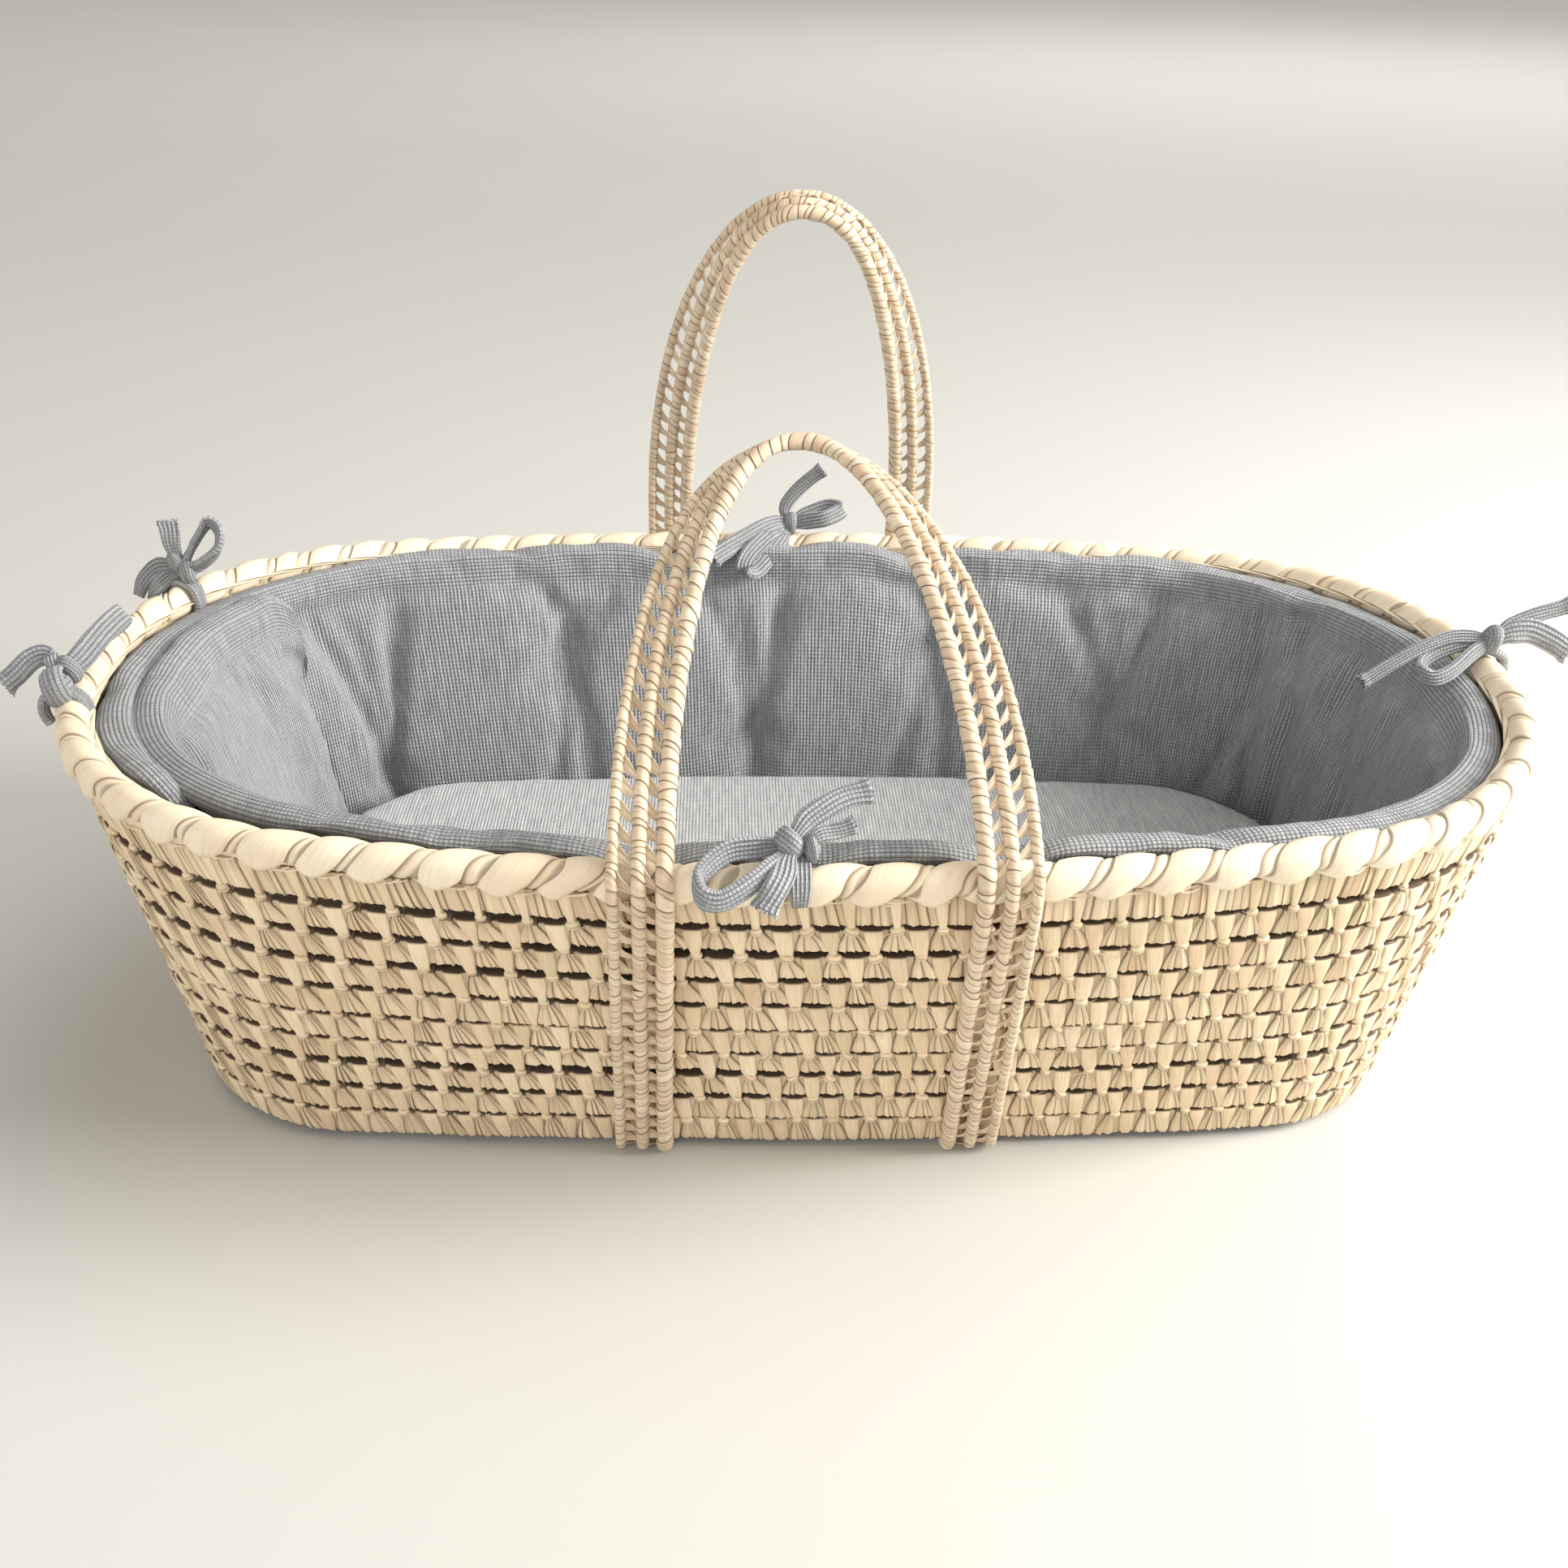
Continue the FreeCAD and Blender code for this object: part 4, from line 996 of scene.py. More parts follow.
def add_web(piece, near, far, along, face, first, second, rng):
    """A pleated leaf between two cords, tall at the near one, with its lower edge straight."""
    columns, rows = 7, 6
    t = np.linspace(0, 1, columns)
    ease = t**0.8
    height = mix(first, second, ease)
    drop = 0.5 * (first - second) * ease + rng.uniform(0, 1.2) * MM * t
    v = np.linspace(-0.5, 0.5, rows)
    pleat = np.cos(4 * math.pi * v)
    middle = near[None] + (far - near)[None] * t[:, None]
    twist = rng.uniform(0.1, 0.5)
    bulge = rng.uniform(0.4, 1.3) * MM
    grid = np.zeros((columns, rows, 3))
    for k in range(columns):
        reach = math.sin(math.pi * t[k])
        side = along * math.cos(twist * reach) + face * math.sin(twist * reach)
        lift = (bulge + 0.45 * MM * pleat) * reach
        grid[k] = middle[k] + side * (v * height[k])[:, None] - along * drop[k] + face * lift[:, None]
    points, faces = slab(grid, WEB_THICKNESS)
    shade = 0.22 * (pleat < 0) + 0.30 * ((t < 0.1) | (t > 0.92))[:, None]
    shade = np.tile(shade.ravel(), 2)
    across = np.tile(v, 2 * columns)
    tone = rng.random()
    tones = side_by_side(0 * shade, tone * 0.7, shade, rng.random())
    along_leaf = np.tile(np.repeat(t, rows), 2)
    grains = side_by_side(0 * shade, across * 8 * MM, along_leaf * 7 * MM, tone * 9)
    piece.add(points, faces, tones, grains)


def add_band(piece, lines, rng, flat=False):
    """Three wound cords side by side and the leaves that hold them together."""
    share = {place: np.linspace(0, 1, len(line)) for place, line in lines.items()}
    spots = np.linspace(0, 1, 1200)
    even = {place: along_line(lines[place], share[place], spots) for place in lines}
    hint = even[1] - even[-1]
    for place, line in lines.items():
        own = along_line(hint, spots, share[place])
        add_cord(piece, line, own, CORD_RADII[place], rng, flat)
    tangent, across, face = frames_along(even[0], hint)
    reach = reach_of(even[0])
    stations = np.arange(0.5 * LINK_PITCH, reach[-1] - 0.4 * LINK_PITCH, LINK_PITCH)
    halfway = 0.5 * reach[-1]
    for at in stations:
        at = at + rng.normal(0, 0.5 * MM)
        spot = lambda values: along_line(values, reach, np.array([at]))[0]
        forward, side, front = spot(tangent), spot(across), spot(face)
        middle, outer, inner = spot(even[0]), spot(even[1]), spot(even[-1])
        if flat and middle[2] < STRAP_FLAT_BELOW and abs(middle[1]) < STRAP_FOOT_OUT:
            front = np.array(UPRIGHT) * 0.2
        up = forward if (at < halfway) != flat else -forward
        start = outer - side * CORD_RADII[1] * 0.55
        end = middle + side * CORD_RADII[0] * 0.55
        first, second = rng.uniform(9.4, 10.8) * MM, rng.uniform(1.8, 3.0) * MM
        add_web(piece, start, end, up, front, first, second, rng)
        start = middle - side * CORD_RADII[0] * 0.5 + up * (0.4 * LINK_PITCH)
        end = inner + side * CORD_RADII[-1] * 0.5 + up * (0.4 * LINK_PITCH)
        first, second = rng.uniform(9.0, 10.4) * MM, rng.uniform(1.8, 3.0) * MM
        add_web(piece, start, end, up, front, first, second, rng)


def make_bands():
    """Two handles, each with its straps down to the cuts, and two straps under the base."""
    for handle in HANDLES:
        rng = np.random.default_rng(80 + handle.sign)
        piece = Piece()
        add_band(piece, {place: handle_line(handle, place) for place in CORD_RADII}, rng)
        made = piece.build(f"{handle.name}_handle_band", CORD_LEAF, CORD_ANGLE)
        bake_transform(made)
        names = [f"{handle.name}_handle_cord_{which}" for which in ("inner", "middle", "outer")]
        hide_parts(*names, f"{handle.name}_handle_links")
    for side, label in ((-1, "left"), (1, "right")):
        rng = np.random.default_rng(90 + side)
        piece = Piece()
        add_band(piece, {place: strap_line(side, place) for place in CORD_RADII}, rng, flat=True)
        for points in piece.points:
            points[:, 2] = np.maximum(points[:, 2], STRAP_LOWEST)
        made = piece.build(f"{label}_strap_band", CORD_LEAF, CORD_ANGLE)
        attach(made, "basket")
        names = [f"{label}_strap_cord_{which}" for which in ("inner", "middle", "outer")]
        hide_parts(*names, f"{label}_strap_links")


# ---------------------------------------------------------------- bumper

BUMPER_LOW, BUMPER_HIGH = 13 * MM, 213 * MM
BUMPER_START, BUMPER_SPAN = 0.088, 1.160
BUMPER_COLUMNS, BUMPER_FACE_ROWS, BUMPER_BEND_ROWS = 330, 30, 5
HEM, HEM_BAND, TUFT_RADIUS = 17 * MM, 3.6 * MM, 5 * MM
FOLD_FOOT, FOLD_TOP, TUFT_MIDDLE = 30 * MM, 205 * MM, 120 * MM
# The outer face's inset from the wall's middle, at the CAD cover's foot and at its top
INSET_FOOT, INSET_TOP, COVER_FOOT, COVER_TOP = 5.5 * MM, 15.3 * MM, 11 * MM, 215 * MM
BUMPER_PRESSURE, BUMPER_SWELL, BUMPER_SHRINK = 3.4, 8 * MM, -0.035


def bumper_sizes(height):
    """The sizes of the bumper's outer oval at a height."""
    share = (height - COVER_FOOT) / (COVER_TOP - COVER_FOOT)
    return wall_sizes(height, mix(INSET_FOOT, INSET_TOP, share))


LOW_OVAL = Oval(*bumper_sizes(BUMPER_LOW))
HIGH_OVAL = Oval(*bumper_sizes(BUMPER_HIGH))
STRIP_LENGTH = BUMPER_SPAN * HIGH_OVAL.length
BUMPER_HALF_LENGTH = 395 * MM


def bumper_place(share, z, depth):
    """Points at shares round the basket, a height up and a depth in from the outer face."""
    level = (z - BUMPER_LOW) / (BUMPER_HIGH - BUMPER_LOW)
    low, high = LOW_OVAL.at(share), HIGH_OVAL.at(share)
    x, y, nx, ny = [mix(a, b, level) for a, b in zip(low, high)]
    return np.stack([x - nx * depth, y - ny * depth, z + 0 * x], -1)


def bumper_layer(along):
    """Outer face's depth: none at the strip's first end, one layer in at its last."""
    return 17 * MM * smooth((along - 0.77) / 0.10)


def strip_at(x, y):
    """How far along the strip, in metres, a place round the wall is."""
    gap = np.hypot(HIGH_OVAL.x - x, HIGH_OVAL.y - y)
    share = HIGH_OVAL.reach[np.argmin(gap)] / HIGH_OVAL.length
    return (BUMPER_START + 1 - share) / BUMPER_SPAN * STRIP_LENGTH


# Stitched tufts: a place round the wall and a height, low and high by turns
TUFTS = [(-0.318, 0.185, 0.066), (-0.168, 0.22, 0.158), (-0.033, 0.222, 0.092), (0.105, 0.222, 0.158)]
TUFTS += [(0.240, 0.205, 0.108), (0.352, 0.165, 0.158), (0.395, 0.04, 0.095), (0.375, -0.11, 0.155)]
TUFTS += [(0.285, -0.19, 0.095), (0.155, -0.22, 0.158), (0.02, -0.222, 0.095), (-0.115, -0.22, 0.158)]
TUFTS += [(-0.25, -0.205, 0.090), (-0.355, -0.14, 0.150)]
TUFT_PLACES = [(strip_at(x, y), z) for x, y, z in TUFTS]


def tuft_creases():
    """Upright folds that run from each tuft to the hem or the foot, a few for each."""
    rng = np.random.default_rng(77)
    creases = []
    for run, height in TUFT_PLACES:
        low = height < TUFT_MIDDLE
        far, back = (FOLD_TOP, FOLD_FOOT) if low else (FOLD_FOOT, FOLD_TOP)
        for offset in (-40, -4, 36) if low else (-30, 14):
            size = rng.uniform(3.2, 5.4)
            creases.append((run, height, run + (offset + rng.uniform(-9, 9)) * MM, far, size * MM))
        creases.append((run, height, run + rng.uniform(-16, 16) * MM, back, rng.uniform(3.2, 5.0) * MM))
    seam = strip_at(0.372, 0.142)
    creases.append((seam - 6 * MM, 0.208, seam + 4 * MM, 0.158, 7 * MM))
    creases.append((seam + 12 * MM, 0.150, seam + 26 * MM, FOLD_FOOT, 7 * MM))
    for x, y, lean in ((0.405, 0.085, 6), (0.41, 0.01, -8), (-0.395, 0.03, 10), (-0.39, -0.06, -12)):
        run = strip_at(x, y)
        creases.append((run, 0.195, run + lean * MM, FOLD_FOOT, 3.2 * MM))
    return creases


CREASES = tuft_creases()


def crease_depth(run, z):
    """How deep the folds are at places along the strip and up it."""
    depth = np.zeros(np.broadcast(run, z).shape)
    for start, z_start, stop, z_stop, size in CREASES:
        t = (z - z_start) / (z_stop - z_start)
        centre = mix(start, stop, np.clip(t, 0, 1)) + 3 * MM * np.sin(5 * t)
        inside = smooth((t + 0.06) / 0.12) * smooth((1.04 - t) / 0.35)
        off = run - centre
        width = np.where(off > 0, 8.5, 5.0) * MM * (0.8 + 0.7 * np.clip(t, 0, 1))
        depth = np.maximum(depth, size * inside * np.exp(-((off / width) ** 2)))
    return depth


def bumper_mesh():
    """The strip as a thin closed pillow, with the share along and the height kept for each point."""
    rows_z = np.linspace(0, 1, BUMPER_FACE_ROWS)
    along = np.linspace(0, 1, BUMPER_COLUMNS)
    bend = np.linspace(0, math.pi, BUMPER_BEND_ROWS + 2)[1:-1]
    level = np.concatenate([rows_z, 1 + 0 * bend, rows_z[::-1], 0 * bend])
    side = np.concatenate([1 + 0 * rows_z, 0.5 + 0.5 * np.cos(bend), 0 * rows_z, 0.5 - 0.5 * np.cos(bend)])
    puff = np.concatenate([0 * rows_z, np.sin(bend), 0 * rows_z, -np.sin(bend)])
    along, level = np.meshgrid(along, level, indexing="ij")
    side = np.broadcast_to(side[None], along.shape)
    puff = np.broadcast_to(puff[None], along.shape)
    share = BUMPER_START - BUMPER_SPAN * along
    end_near = np.clip(1 - (1 - along) / 0.013, 0, 1) + np.clip(1 - along / 0.013, 0, 1)
    flat = bumper_place(share, BUMPER_HIGH + 0 * share, 0)
    beside = np.abs(flat[..., 0]) / BUMPER_HALF_LENGTH
    pressed = 3.6 * MM * np.exp(-(((np.abs(flat[..., 0]) - HANDLE_HALF_SPAN) / (24 * MM)) ** 2))
    top = BUMPER_HIGH + (6 - 5 * beside**3) * MM - pressed - 16 * MM * end_near**2.5
    z = mix(BUMPER_LOW, top, level) + puff * 4.5 * MM
    line = np.exp(-(((top - z - HEM) / (3.5 * MM)) ** 2))
    roll = smooth((z - top + HEM) / (8 * MM))
    thick = (12 + 6.5 * roll - 3.5 * line) * (1 - 0.35 * end_near) * MM
    mid = bumper_layer(along) + mix(10.5, 9.5, smooth((z - 0.17) / 0.035)) * MM
    fold = crease_depth(along * STRIP_LENGTH, z)
    depth = mid + (side - 0.5) * thick - 1.1 * fold * side
    return along, level, z, bumper_place(share, z, depth), top


def strip_faces(columns, rows):
    """A ring of rows swept along the columns, closed at both ends by its own two faces."""
    faces = grid_faces(columns, rows, wrap_rows=True)
    ends = []
    for base, way in ((0, 1), ((columns - 1) * rows, -1)):
        low, high = 0, rows - 1
        while high - low > 2:
            quad = [base + low, base + low + 1, base + high - 1, base + high]
            ends.append(quad[::way])
            low, high = low + 1, high - 1
        if high - low == 2:
            last = [base + low, base + low + 1, base + high]
            return faces + [np.array(ends), np.array([last])]
    return faces + [np.array(ends)]


def puff_up(piece, pins, pressure, cap, shrink, frames=20):
    """Swells a closed cloth with its pinned points held, then keeps the shape."""
    group = piece.vertex_groups.new(name="pins")
    for weight in sorted(set(np.round(pins, 2))):
        if weight > 0:
            group.add(np.flatnonzero(np.round(pins, 2) == weight).tolist(), float(weight), "REPLACE")
    before = read_points(piece)
    cloth = piece.modifiers.new("cloth", "CLOTH")
    settings = cloth.settings
    settings.quality = 4
    settings.mass = 0.25
    settings.tension_stiffness = 14
    settings.compression_stiffness = 10
    settings.shear_stiffness = 5
    settings.bending_stiffness = 0.35
    settings.air_damping = 3
    settings.use_pressure = True
    settings.uniform_pressure_force = pressure
    settings.shrink_min = shrink
    settings.vertex_group_mass = "pins"
    settings.effector_weights.gravity = 0
    cloth.collision_settings.use_collision = False
    cloth.point_cache.frame_start, cloth.point_cache.frame_end = 1, frames
    scene = bpy.context.scene
    for number in range(1, frames + 1):
        scene.frame_set(number)
    bpy.context.view_layer.objects.active = piece
    apply_modifier(piece, "cloth")
    scene.frame_set(1)
    after = read_points(piece)
    move = after - before
    size = np.linalg.norm(move, axis=1, keepdims=True)
    write_points(piece, before + move * np.minimum(1.0, cap / np.maximum(size, 1e-9)))
    piece.vertex_groups.clear()


def read_points(piece):
    points = np.zeros(len(piece.data.vertices) * 3, np.float32)
    piece.data.vertices.foreach_get("co", points)
    return points.reshape(-1, 3).astype(float)


def write_points(piece, points):
    piece.data.vertices.foreach_set("co", np.asarray(points, np.float32).ravel())
    piece.data.update()


def apply_modifier(piece, name):
    with bpy.context.temp_override(object=piece, active_object=piece, selected_objects=[piece]):
        bpy.ops.object.modifier_apply(modifier=name)


def subdivide(piece):
    modifier = piece.modifiers.new("smooth", "SUBSURF")
    modifier.levels = modifier.render_levels = 1
    apply_modifier(piece, "smooth")


def make_bumper():
    """The padded strip: swelled as cloth, drawn in at its tufts, then smoothed."""
    along, level, z, points, top = bumper_mesh()
    run = along * STRIP_LENGTH
    steps = np.linalg.norm(np.diff(points, axis=1), axis=2)
    over = np.concatenate([0 * steps[:, :1], np.cumsum(steps, axis=1)], 1)
    from_top = over - over[:, BUMPER_FACE_ROWS : BUMPER_FACE_ROWS + 1]
    grain = side_by_side(0 * z, run, from_top, 0.0)
    hem = smooth((z - top + HEM + 2 * MM) / (3 * MM)).reshape(-1, 1) * [0, 1, 0]
    piece = Piece()
    piece.add(rise(points.reshape(-1, 3)), strip_faces(BUMPER_COLUMNS, along.shape[1]), hem, grain)
    made = piece.build("bumper", BUMPER_CLOTH)
    pins = np.zeros(along.shape)
    pins[np.abs(top - z - HEM) < HEM_BAND] = 1.0
    pins[level < 0.02] = 1.0
    for where, height in TUFT_PLACES:
        pins[np.hypot(run - where, z - height) < TUFT_RADIUS] = 1.0
    puff_up(made, pins.ravel(), BUMPER_PRESSURE, BUMPER_SWELL, BUMPER_SHRINK)
    draw_in(made, run, z)
    subdivide(made)
    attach(made, "basket")
    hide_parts("bumper_cover", "bumper_wadding")
    stitch_tufts(made, run, z)


def face_grids(grid):
    """The inner face and the outer face of the strip, both from its foot up."""
    face, bend = BUMPER_FACE_ROWS, BUMPER_BEND_ROWS
    return grid[:, :face], grid[:, face + bend : face + bend + face][:, ::-1]


def draw_in(piece, run, z):
    """Draws the faces in at each tuft and deepens the folds."""
    grid = read_points(piece).reshape(*run.shape, 3)
    inner, outer = face_grids(grid)
    middle = 0.5 * (inner + outer)
    run, z = run[:, :BUMPER_FACE_ROWS], z[:, :BUMPER_FACE_ROWS]
    pull = np.zeros(run.shape)
    for where, height in TUFT_PLACES:
        near = np.hypot(run - where, z - height)
        pull = np.maximum(pull, 0.50 * np.exp(-((near / (7 * MM)) ** 2)) + 0.45 * np.exp(-near / (18 * MM)))
    inward = outer - inner
    inward /= np.maximum(np.linalg.norm(inward, axis=2, keepdims=True), 1e-9)
    fold = crease_depth(run, z)[..., None]
    inner[:] = inner + (middle - inner) * pull[..., None] + inward * fold * 0.55
    outer[:] = outer + (middle - outer) * 0.5 * pull[..., None]
    write_points(piece, grid.reshape(-1, 3))


def stitch_tufts(bumper, run, z):
    """A short thread bar sunk into the bumper's inner face at each tuft."""
    grid = bumper_face(bumper, run.shape)
    piece = Piece()
    rng = np.random.default_rng(8)
    face_run, face_z = run[:, :BUMPER_FACE_ROWS], z[:, :BUMPER_FACE_ROWS]
    for where, height in TUFT_PLACES:
        spot = np.unravel_index(np.argmin(np.hypot(face_run - where, face_z - height)), face_run.shape)
        column, row = [int(np.clip(k, 2, n - 3)) for k, n in zip(spot, face_run.shape)]
        along = grid[column + 1, row] - grid[column - 1, row]
        up = grid[column, row + 1] - grid[column, row - 1]
        along, up = along / np.linalg.norm(along), up / np.linalg.norm(up)
        out = np.cross(up, along)
        out *= -np.sign(np.dot(out, grid[column, row] * [1, 1, 0]))
        for turn in (0.25, 1.2):
            angle = turn + rng.normal(0, 0.15)
            way = along * math.cos(angle) + up * math.sin(angle)
            t = np.linspace(-1, 1, 9)[:, None]
            line = grid[column, row] + way * t * 2.6 * MM + out * (0.9 - 1.5 * t**2) * MM
            add_fibre(piece, line, up + along, 0.55 * MM, sides=6)
    made = piece.build("tuft_stitches", THREAD)
    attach(made, "basket")
    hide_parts("bumper_tufts")


def bumper_face(bumper, shape):
    """The inner face's grid of points in the finished bumper, which keeps them first in order."""
    count = shape[0] * shape[1]
    return read_points(bumper)[:count].reshape(*shape, 3)[:, :BUMPER_FACE_ROWS]


# ---------------------------------------------------------------- ties

TAPE_THICKNESS = 4.0 * MM
TAPE_RIBS = 5
BEAD = 2.1 * MM
# In mm: the height of the rim's middle at a tie, the bend of the tape over the rim, its width
TIE_HEIGHT, OVER_RIM, OVER_WIDTH = 215.0, 11.4, 10.5
GATHER_RUN = 13 * MM
FRINGE = 22
CUFF_STEPS = np.linspace(-0.96, 0.96, 4 * TAPE_RIBS + 1)


class Tie:
    """A bow: where it sits on the rim, its knot, the turns round the knot, and its tapes."""

    def __init__(self, name, rim, inward, knot, wraps, tapes):
        self.name, self.rim, self.inward = name, np.array([*rim, TIE_HEIGHT]), np.array([*inward, 0.0])
        self.knot, self.wraps, self.tapes = np.array(knot, float), wraps, tapes


# Each turn: its place from the knot, the way its hole faces, its radius and half width.
# Each tape: its kind, the way its width lies, its width and its places from the knot, in mm.
TIES = [
    Tie(
        "tie_front", (-12, -237), (0, 1), (-5, 2, 20),
        [((0, 0, 0), (0.5, 0.4, 0.77), 6.4, 5.4), ((10.5, -1, -2.5), (1, 0.15, 0.3), 4.8, 2.9)],
        [
            ("loop", (0.15, 0.25, 0.95), 11.5, [(-4, 0, -1), (-14, -2, -1), (-29, -7, -1), (-41, -18, -7),
                (-40, -28, -12), (-31, -28, -14), (-17, -20, -9), (-3, -5, -4)]),
            ("tail", (-0.5, 0.39, 0.75), 11.5, [(2, 1, 2), (8, 8, 8), (18, 14, 12), (28, 20, 14),
                (38, 24, 15)]),
            ("tail", (-0.25, 0.44, 0.85), 8, [(6, 0, -1), (13, 3, 2), (21, 7, 2), (30, 10, 4)]),
            ("tail", (0.9, -0.21, -0.4), 12.5, [(0, -4, -3), (-3, -15, -7), (-7, -23, -11),
                (-12, -28, -19)]),
        ],
    ),
    Tie(
        "tie_back", (-6, 237), (0, -1), (5, -1, 16),
        [((1, 0, 0), (1, 0.1, 0.1), 6.4, 4.4)],
        [
            ("tail", (-0.42, 0.42, 0.8), 13, [(0, 0, 2), (-16, -12, 2), (-38, -31, -4), (-54, -46, -10)]),
            ("loop", (-0.65, 0.35, 0.67), 12.5, [(0, -2, -2), (-14, -16, -3), (-28, -34, -10),
                (-32, -41, -18), (-24, -38, -22), (-10, -20, -11), (-1, -3, -3)]),
            ("loop", (-0.28, 0.44, 0.85), 12, [(2, 1, 1), (15, 7, 5), (29, 11, 9), (38, 5, 9),
                (27, -4, 6), (13, -3, 3), (2, -1, 0)]),
            ("tail", (-0.67, 0.34, 0.66), 10, [(-1, 1, 3), (-3, 4, 10), (3, 8, 19), (13, 12, 28),
                (23, 15, 35)]),
        ],
    ),
    Tie(
        "tie_left_rear", (-393, 101.5), (0.93, -0.37), (1, 0, 20),
        [((-3, 2, 2), (0.5, 0.4, 0.75), 5.6, 4.2), ((4, -1, -2), (0.9, 0.2, 0.3), 5.4, 4.4)],
        [
            ("loop", (0.55, -0.5, 0.65), 11, [(0, 1, 1), (8, 8, 15), (18, 8, 27), (26, 4, 25),
                (25, -1, 14), (12, -2, 3), (1, -1, 0)]),
            ("tail", (0.98, 0.1, 0.15), 12, [(-2, 2, 4), (-5, 4, 12), (-6, 6, 19), (-7, 8, 26)]),
            ("loop", (-0.6, 0.37, 0.71), 11.5, [(-2, 0, 1), (-15, 2, -1), (-25, 1, -10), (-29, -2, -19)]),
            ("loop", (-0.6, 0.37, 0.71), 10, [(0, -1, -2), (-10, -2, -6), (-17, -4, -13),
                (-20, -5, -20)]),
        ],
    ),
    Tie(
        "tie_left_end", (-407.5, -71), (1, 0.04), (0, 0, 18),
        [((-1, -3, -2), (0.87, 0.23, 0.44), 8.4, 7.0), ((3, 6, 4), (0.25, 0.75, 0.6), 6.2, 4.2)],
        [
            ("loop", (-0.73, 0.32, 0.61), 12.5, [(0, 2, 0), (3, 17, 3), (9, 38, 10), (16, 52, 14),
                (20, 51, 19), (15, 33, 16), (8, 13, 8), (0, 2, 2)]),
            ("tail", (-0.7, 0.32, 0.62), 11.5, [(-2, 2, 4), (-7, 6, 11), (-15, 5, 9), (-23, 1, 2),
                (-29, -2, -3)]),
        ],
    ),
    Tie(
        "tie_right_end", (411, 0), (-1, 0), (1, 0, 18.5),
        [((0, 0, 0), (1, 0.1, -0.1), 6.6, 4.4)],
        [
            ("loop", (-0.25, 0.45, 0.86), 9.5, [(-2, 0, -1), (-20, -2, -1), (-38, -7, -5), (-46, -15, -9),
                (-41, -22, -13), (-30, -19, -11), (-15, -9, -5), (-2, -1, -1)]),
            ("tail", (-0.3, 0.45, 0.84), 8, [(-2, 0, 1), (-24, -2, 4), (-44, -8, 1), (-63, -14, -6),
                (-81, -20, -14)]),
            ("tail", (0.3, 0.43, 0.83), 14, [(3, 0, 0), (12, 1, 3), (24, 2, 3), (36, 0, -2),
                (46, -4, -8)]),
            ("tail", (-0.35, 0.43, 0.82), 9, [(2, 1, 2), (14, 6, 6), (28, 10, 9), (42, 13, 11),
                (50, 14, 13)]),
        ],
    ),
]


def tape_section():
    """Places round a tape's section: how far across and how far out, each from -1 to 1."""
    across = np.concatenate([CUFF_STEPS, [1.0], CUFF_STEPS[::-1], [-1.0]])
    out = (1 - np.abs(across) ** 2.7) ** 0.38
    way = np.concatenate([1 + 0 * CUFF_STEPS, [0.0], -1 + 0 * CUFF_STEPS, [0.0]])
    return across, out * way


def add_tape(piece, points, hint, rng, tail, width, narrow=0.62):
    """A soft ribbed waffle tape along given points, gathered where it enters the knot."""
    line = smooth_line(np.asarray(points, float) * MM, 60)
    reach = reach_of(line)
    count = int(reach[-1] / (BEAD / 4))
    where = np.linspace(0, reach[-1], count)
    line = along_line(line, reach, where)
    hints = np.broadcast_to(np.asarray(hint, float), line.shape)
    tangent, across, face = frames_along(line, hints)
    t = where / where[-1]
    gather = narrow + (1 - narrow) * smooth(where / GATHER_RUN)
    if not tail:
        gather = gather * (narrow + (1 - narrow) * smooth((where[-1] - where) / GATHER_RUN))
    flare = smooth((where - where[-1] + 4 * MM) / (4 * MM)) if tail else np.zeros(count)
    spin = 0.20 * np.sin(TAU * t + rng.uniform(0, TAU)) * smooth(t / 0.2)
    side = across * np.cos(spin)[:, None] + face * np.sin(spin)[:, None]
    over = np.cross(tangent, side)
    u, v = tape_section()
    rib = 0.5 - 0.5 * np.cos(math.pi * TAPE_RIBS * (u + 1))
    bead = 0.5 + 0.5 * np.cos(TAU * where / BEAD)
    half_width = 0.5 * width * MM * gather * (1 + 0.14 * flare)
    half_thick = 0.5 * TAPE_THICKNESS * (1 + 0.5 * (1 - gather)) * (1 + 0.3 * flare)
    grow = 0.60 * MM * (rib[None] * (0.20 + 0.80 * bead[:, None]) + 0.15 * bead[:, None])
    bow = 0.8 * MM * (1 - u**2)
    x = u[None] * half_width[:, None]
    y = v[None] * half_thick[:, None] + grow * np.sign(v)[None] + bow[None] * gather[:, None]
    shell = line[:, None] + side[:, None] * x[..., None] + over[:, None] * y[..., None]
    lips = []
    if tail:
        middle = shell[-1].mean(0)
        for share, depth in ((0.86, -0.5), (0.70, 0.4), (0.60, 2.6)):
            lips.append(middle + (shell[-1] - middle) * share - tangent[-1] * depth * MM)
    shell = np.concatenate([shell, np.array(lips).reshape(-1, len(u), 3)])
    rows, sides = len(shell), len(u)
    ends = np.stack([shell[0].mean(0), shell[-1].mean(0)])
    run = np.concatenate([where, where[-1] + 0 * np.arange(len(lips))])
    grain = np.stack(np.broadcast_arrays(u[None] * 6 * MM, run[:, None] - 0.5 * BEAD, 0.0), -1).reshape(-1, 3)
    grain = np.concatenate([grain, [[0, 0, 0], [0, 0, 0]]])
    faces = [f[:, ::-1] for f in grid_faces(rows, sides, wrap_rows=True) + end_caps(rows, sides)]
    piece.add(np.concatenate([shell.reshape(-1, 3), ends]), faces, (0, 0, 0), grain)
    if tail:
        add_fringe(piece, line[-1] + over[-1] * 0.4 * MM, tangent[-1], side[-1], over[-1], width * MM, rng)


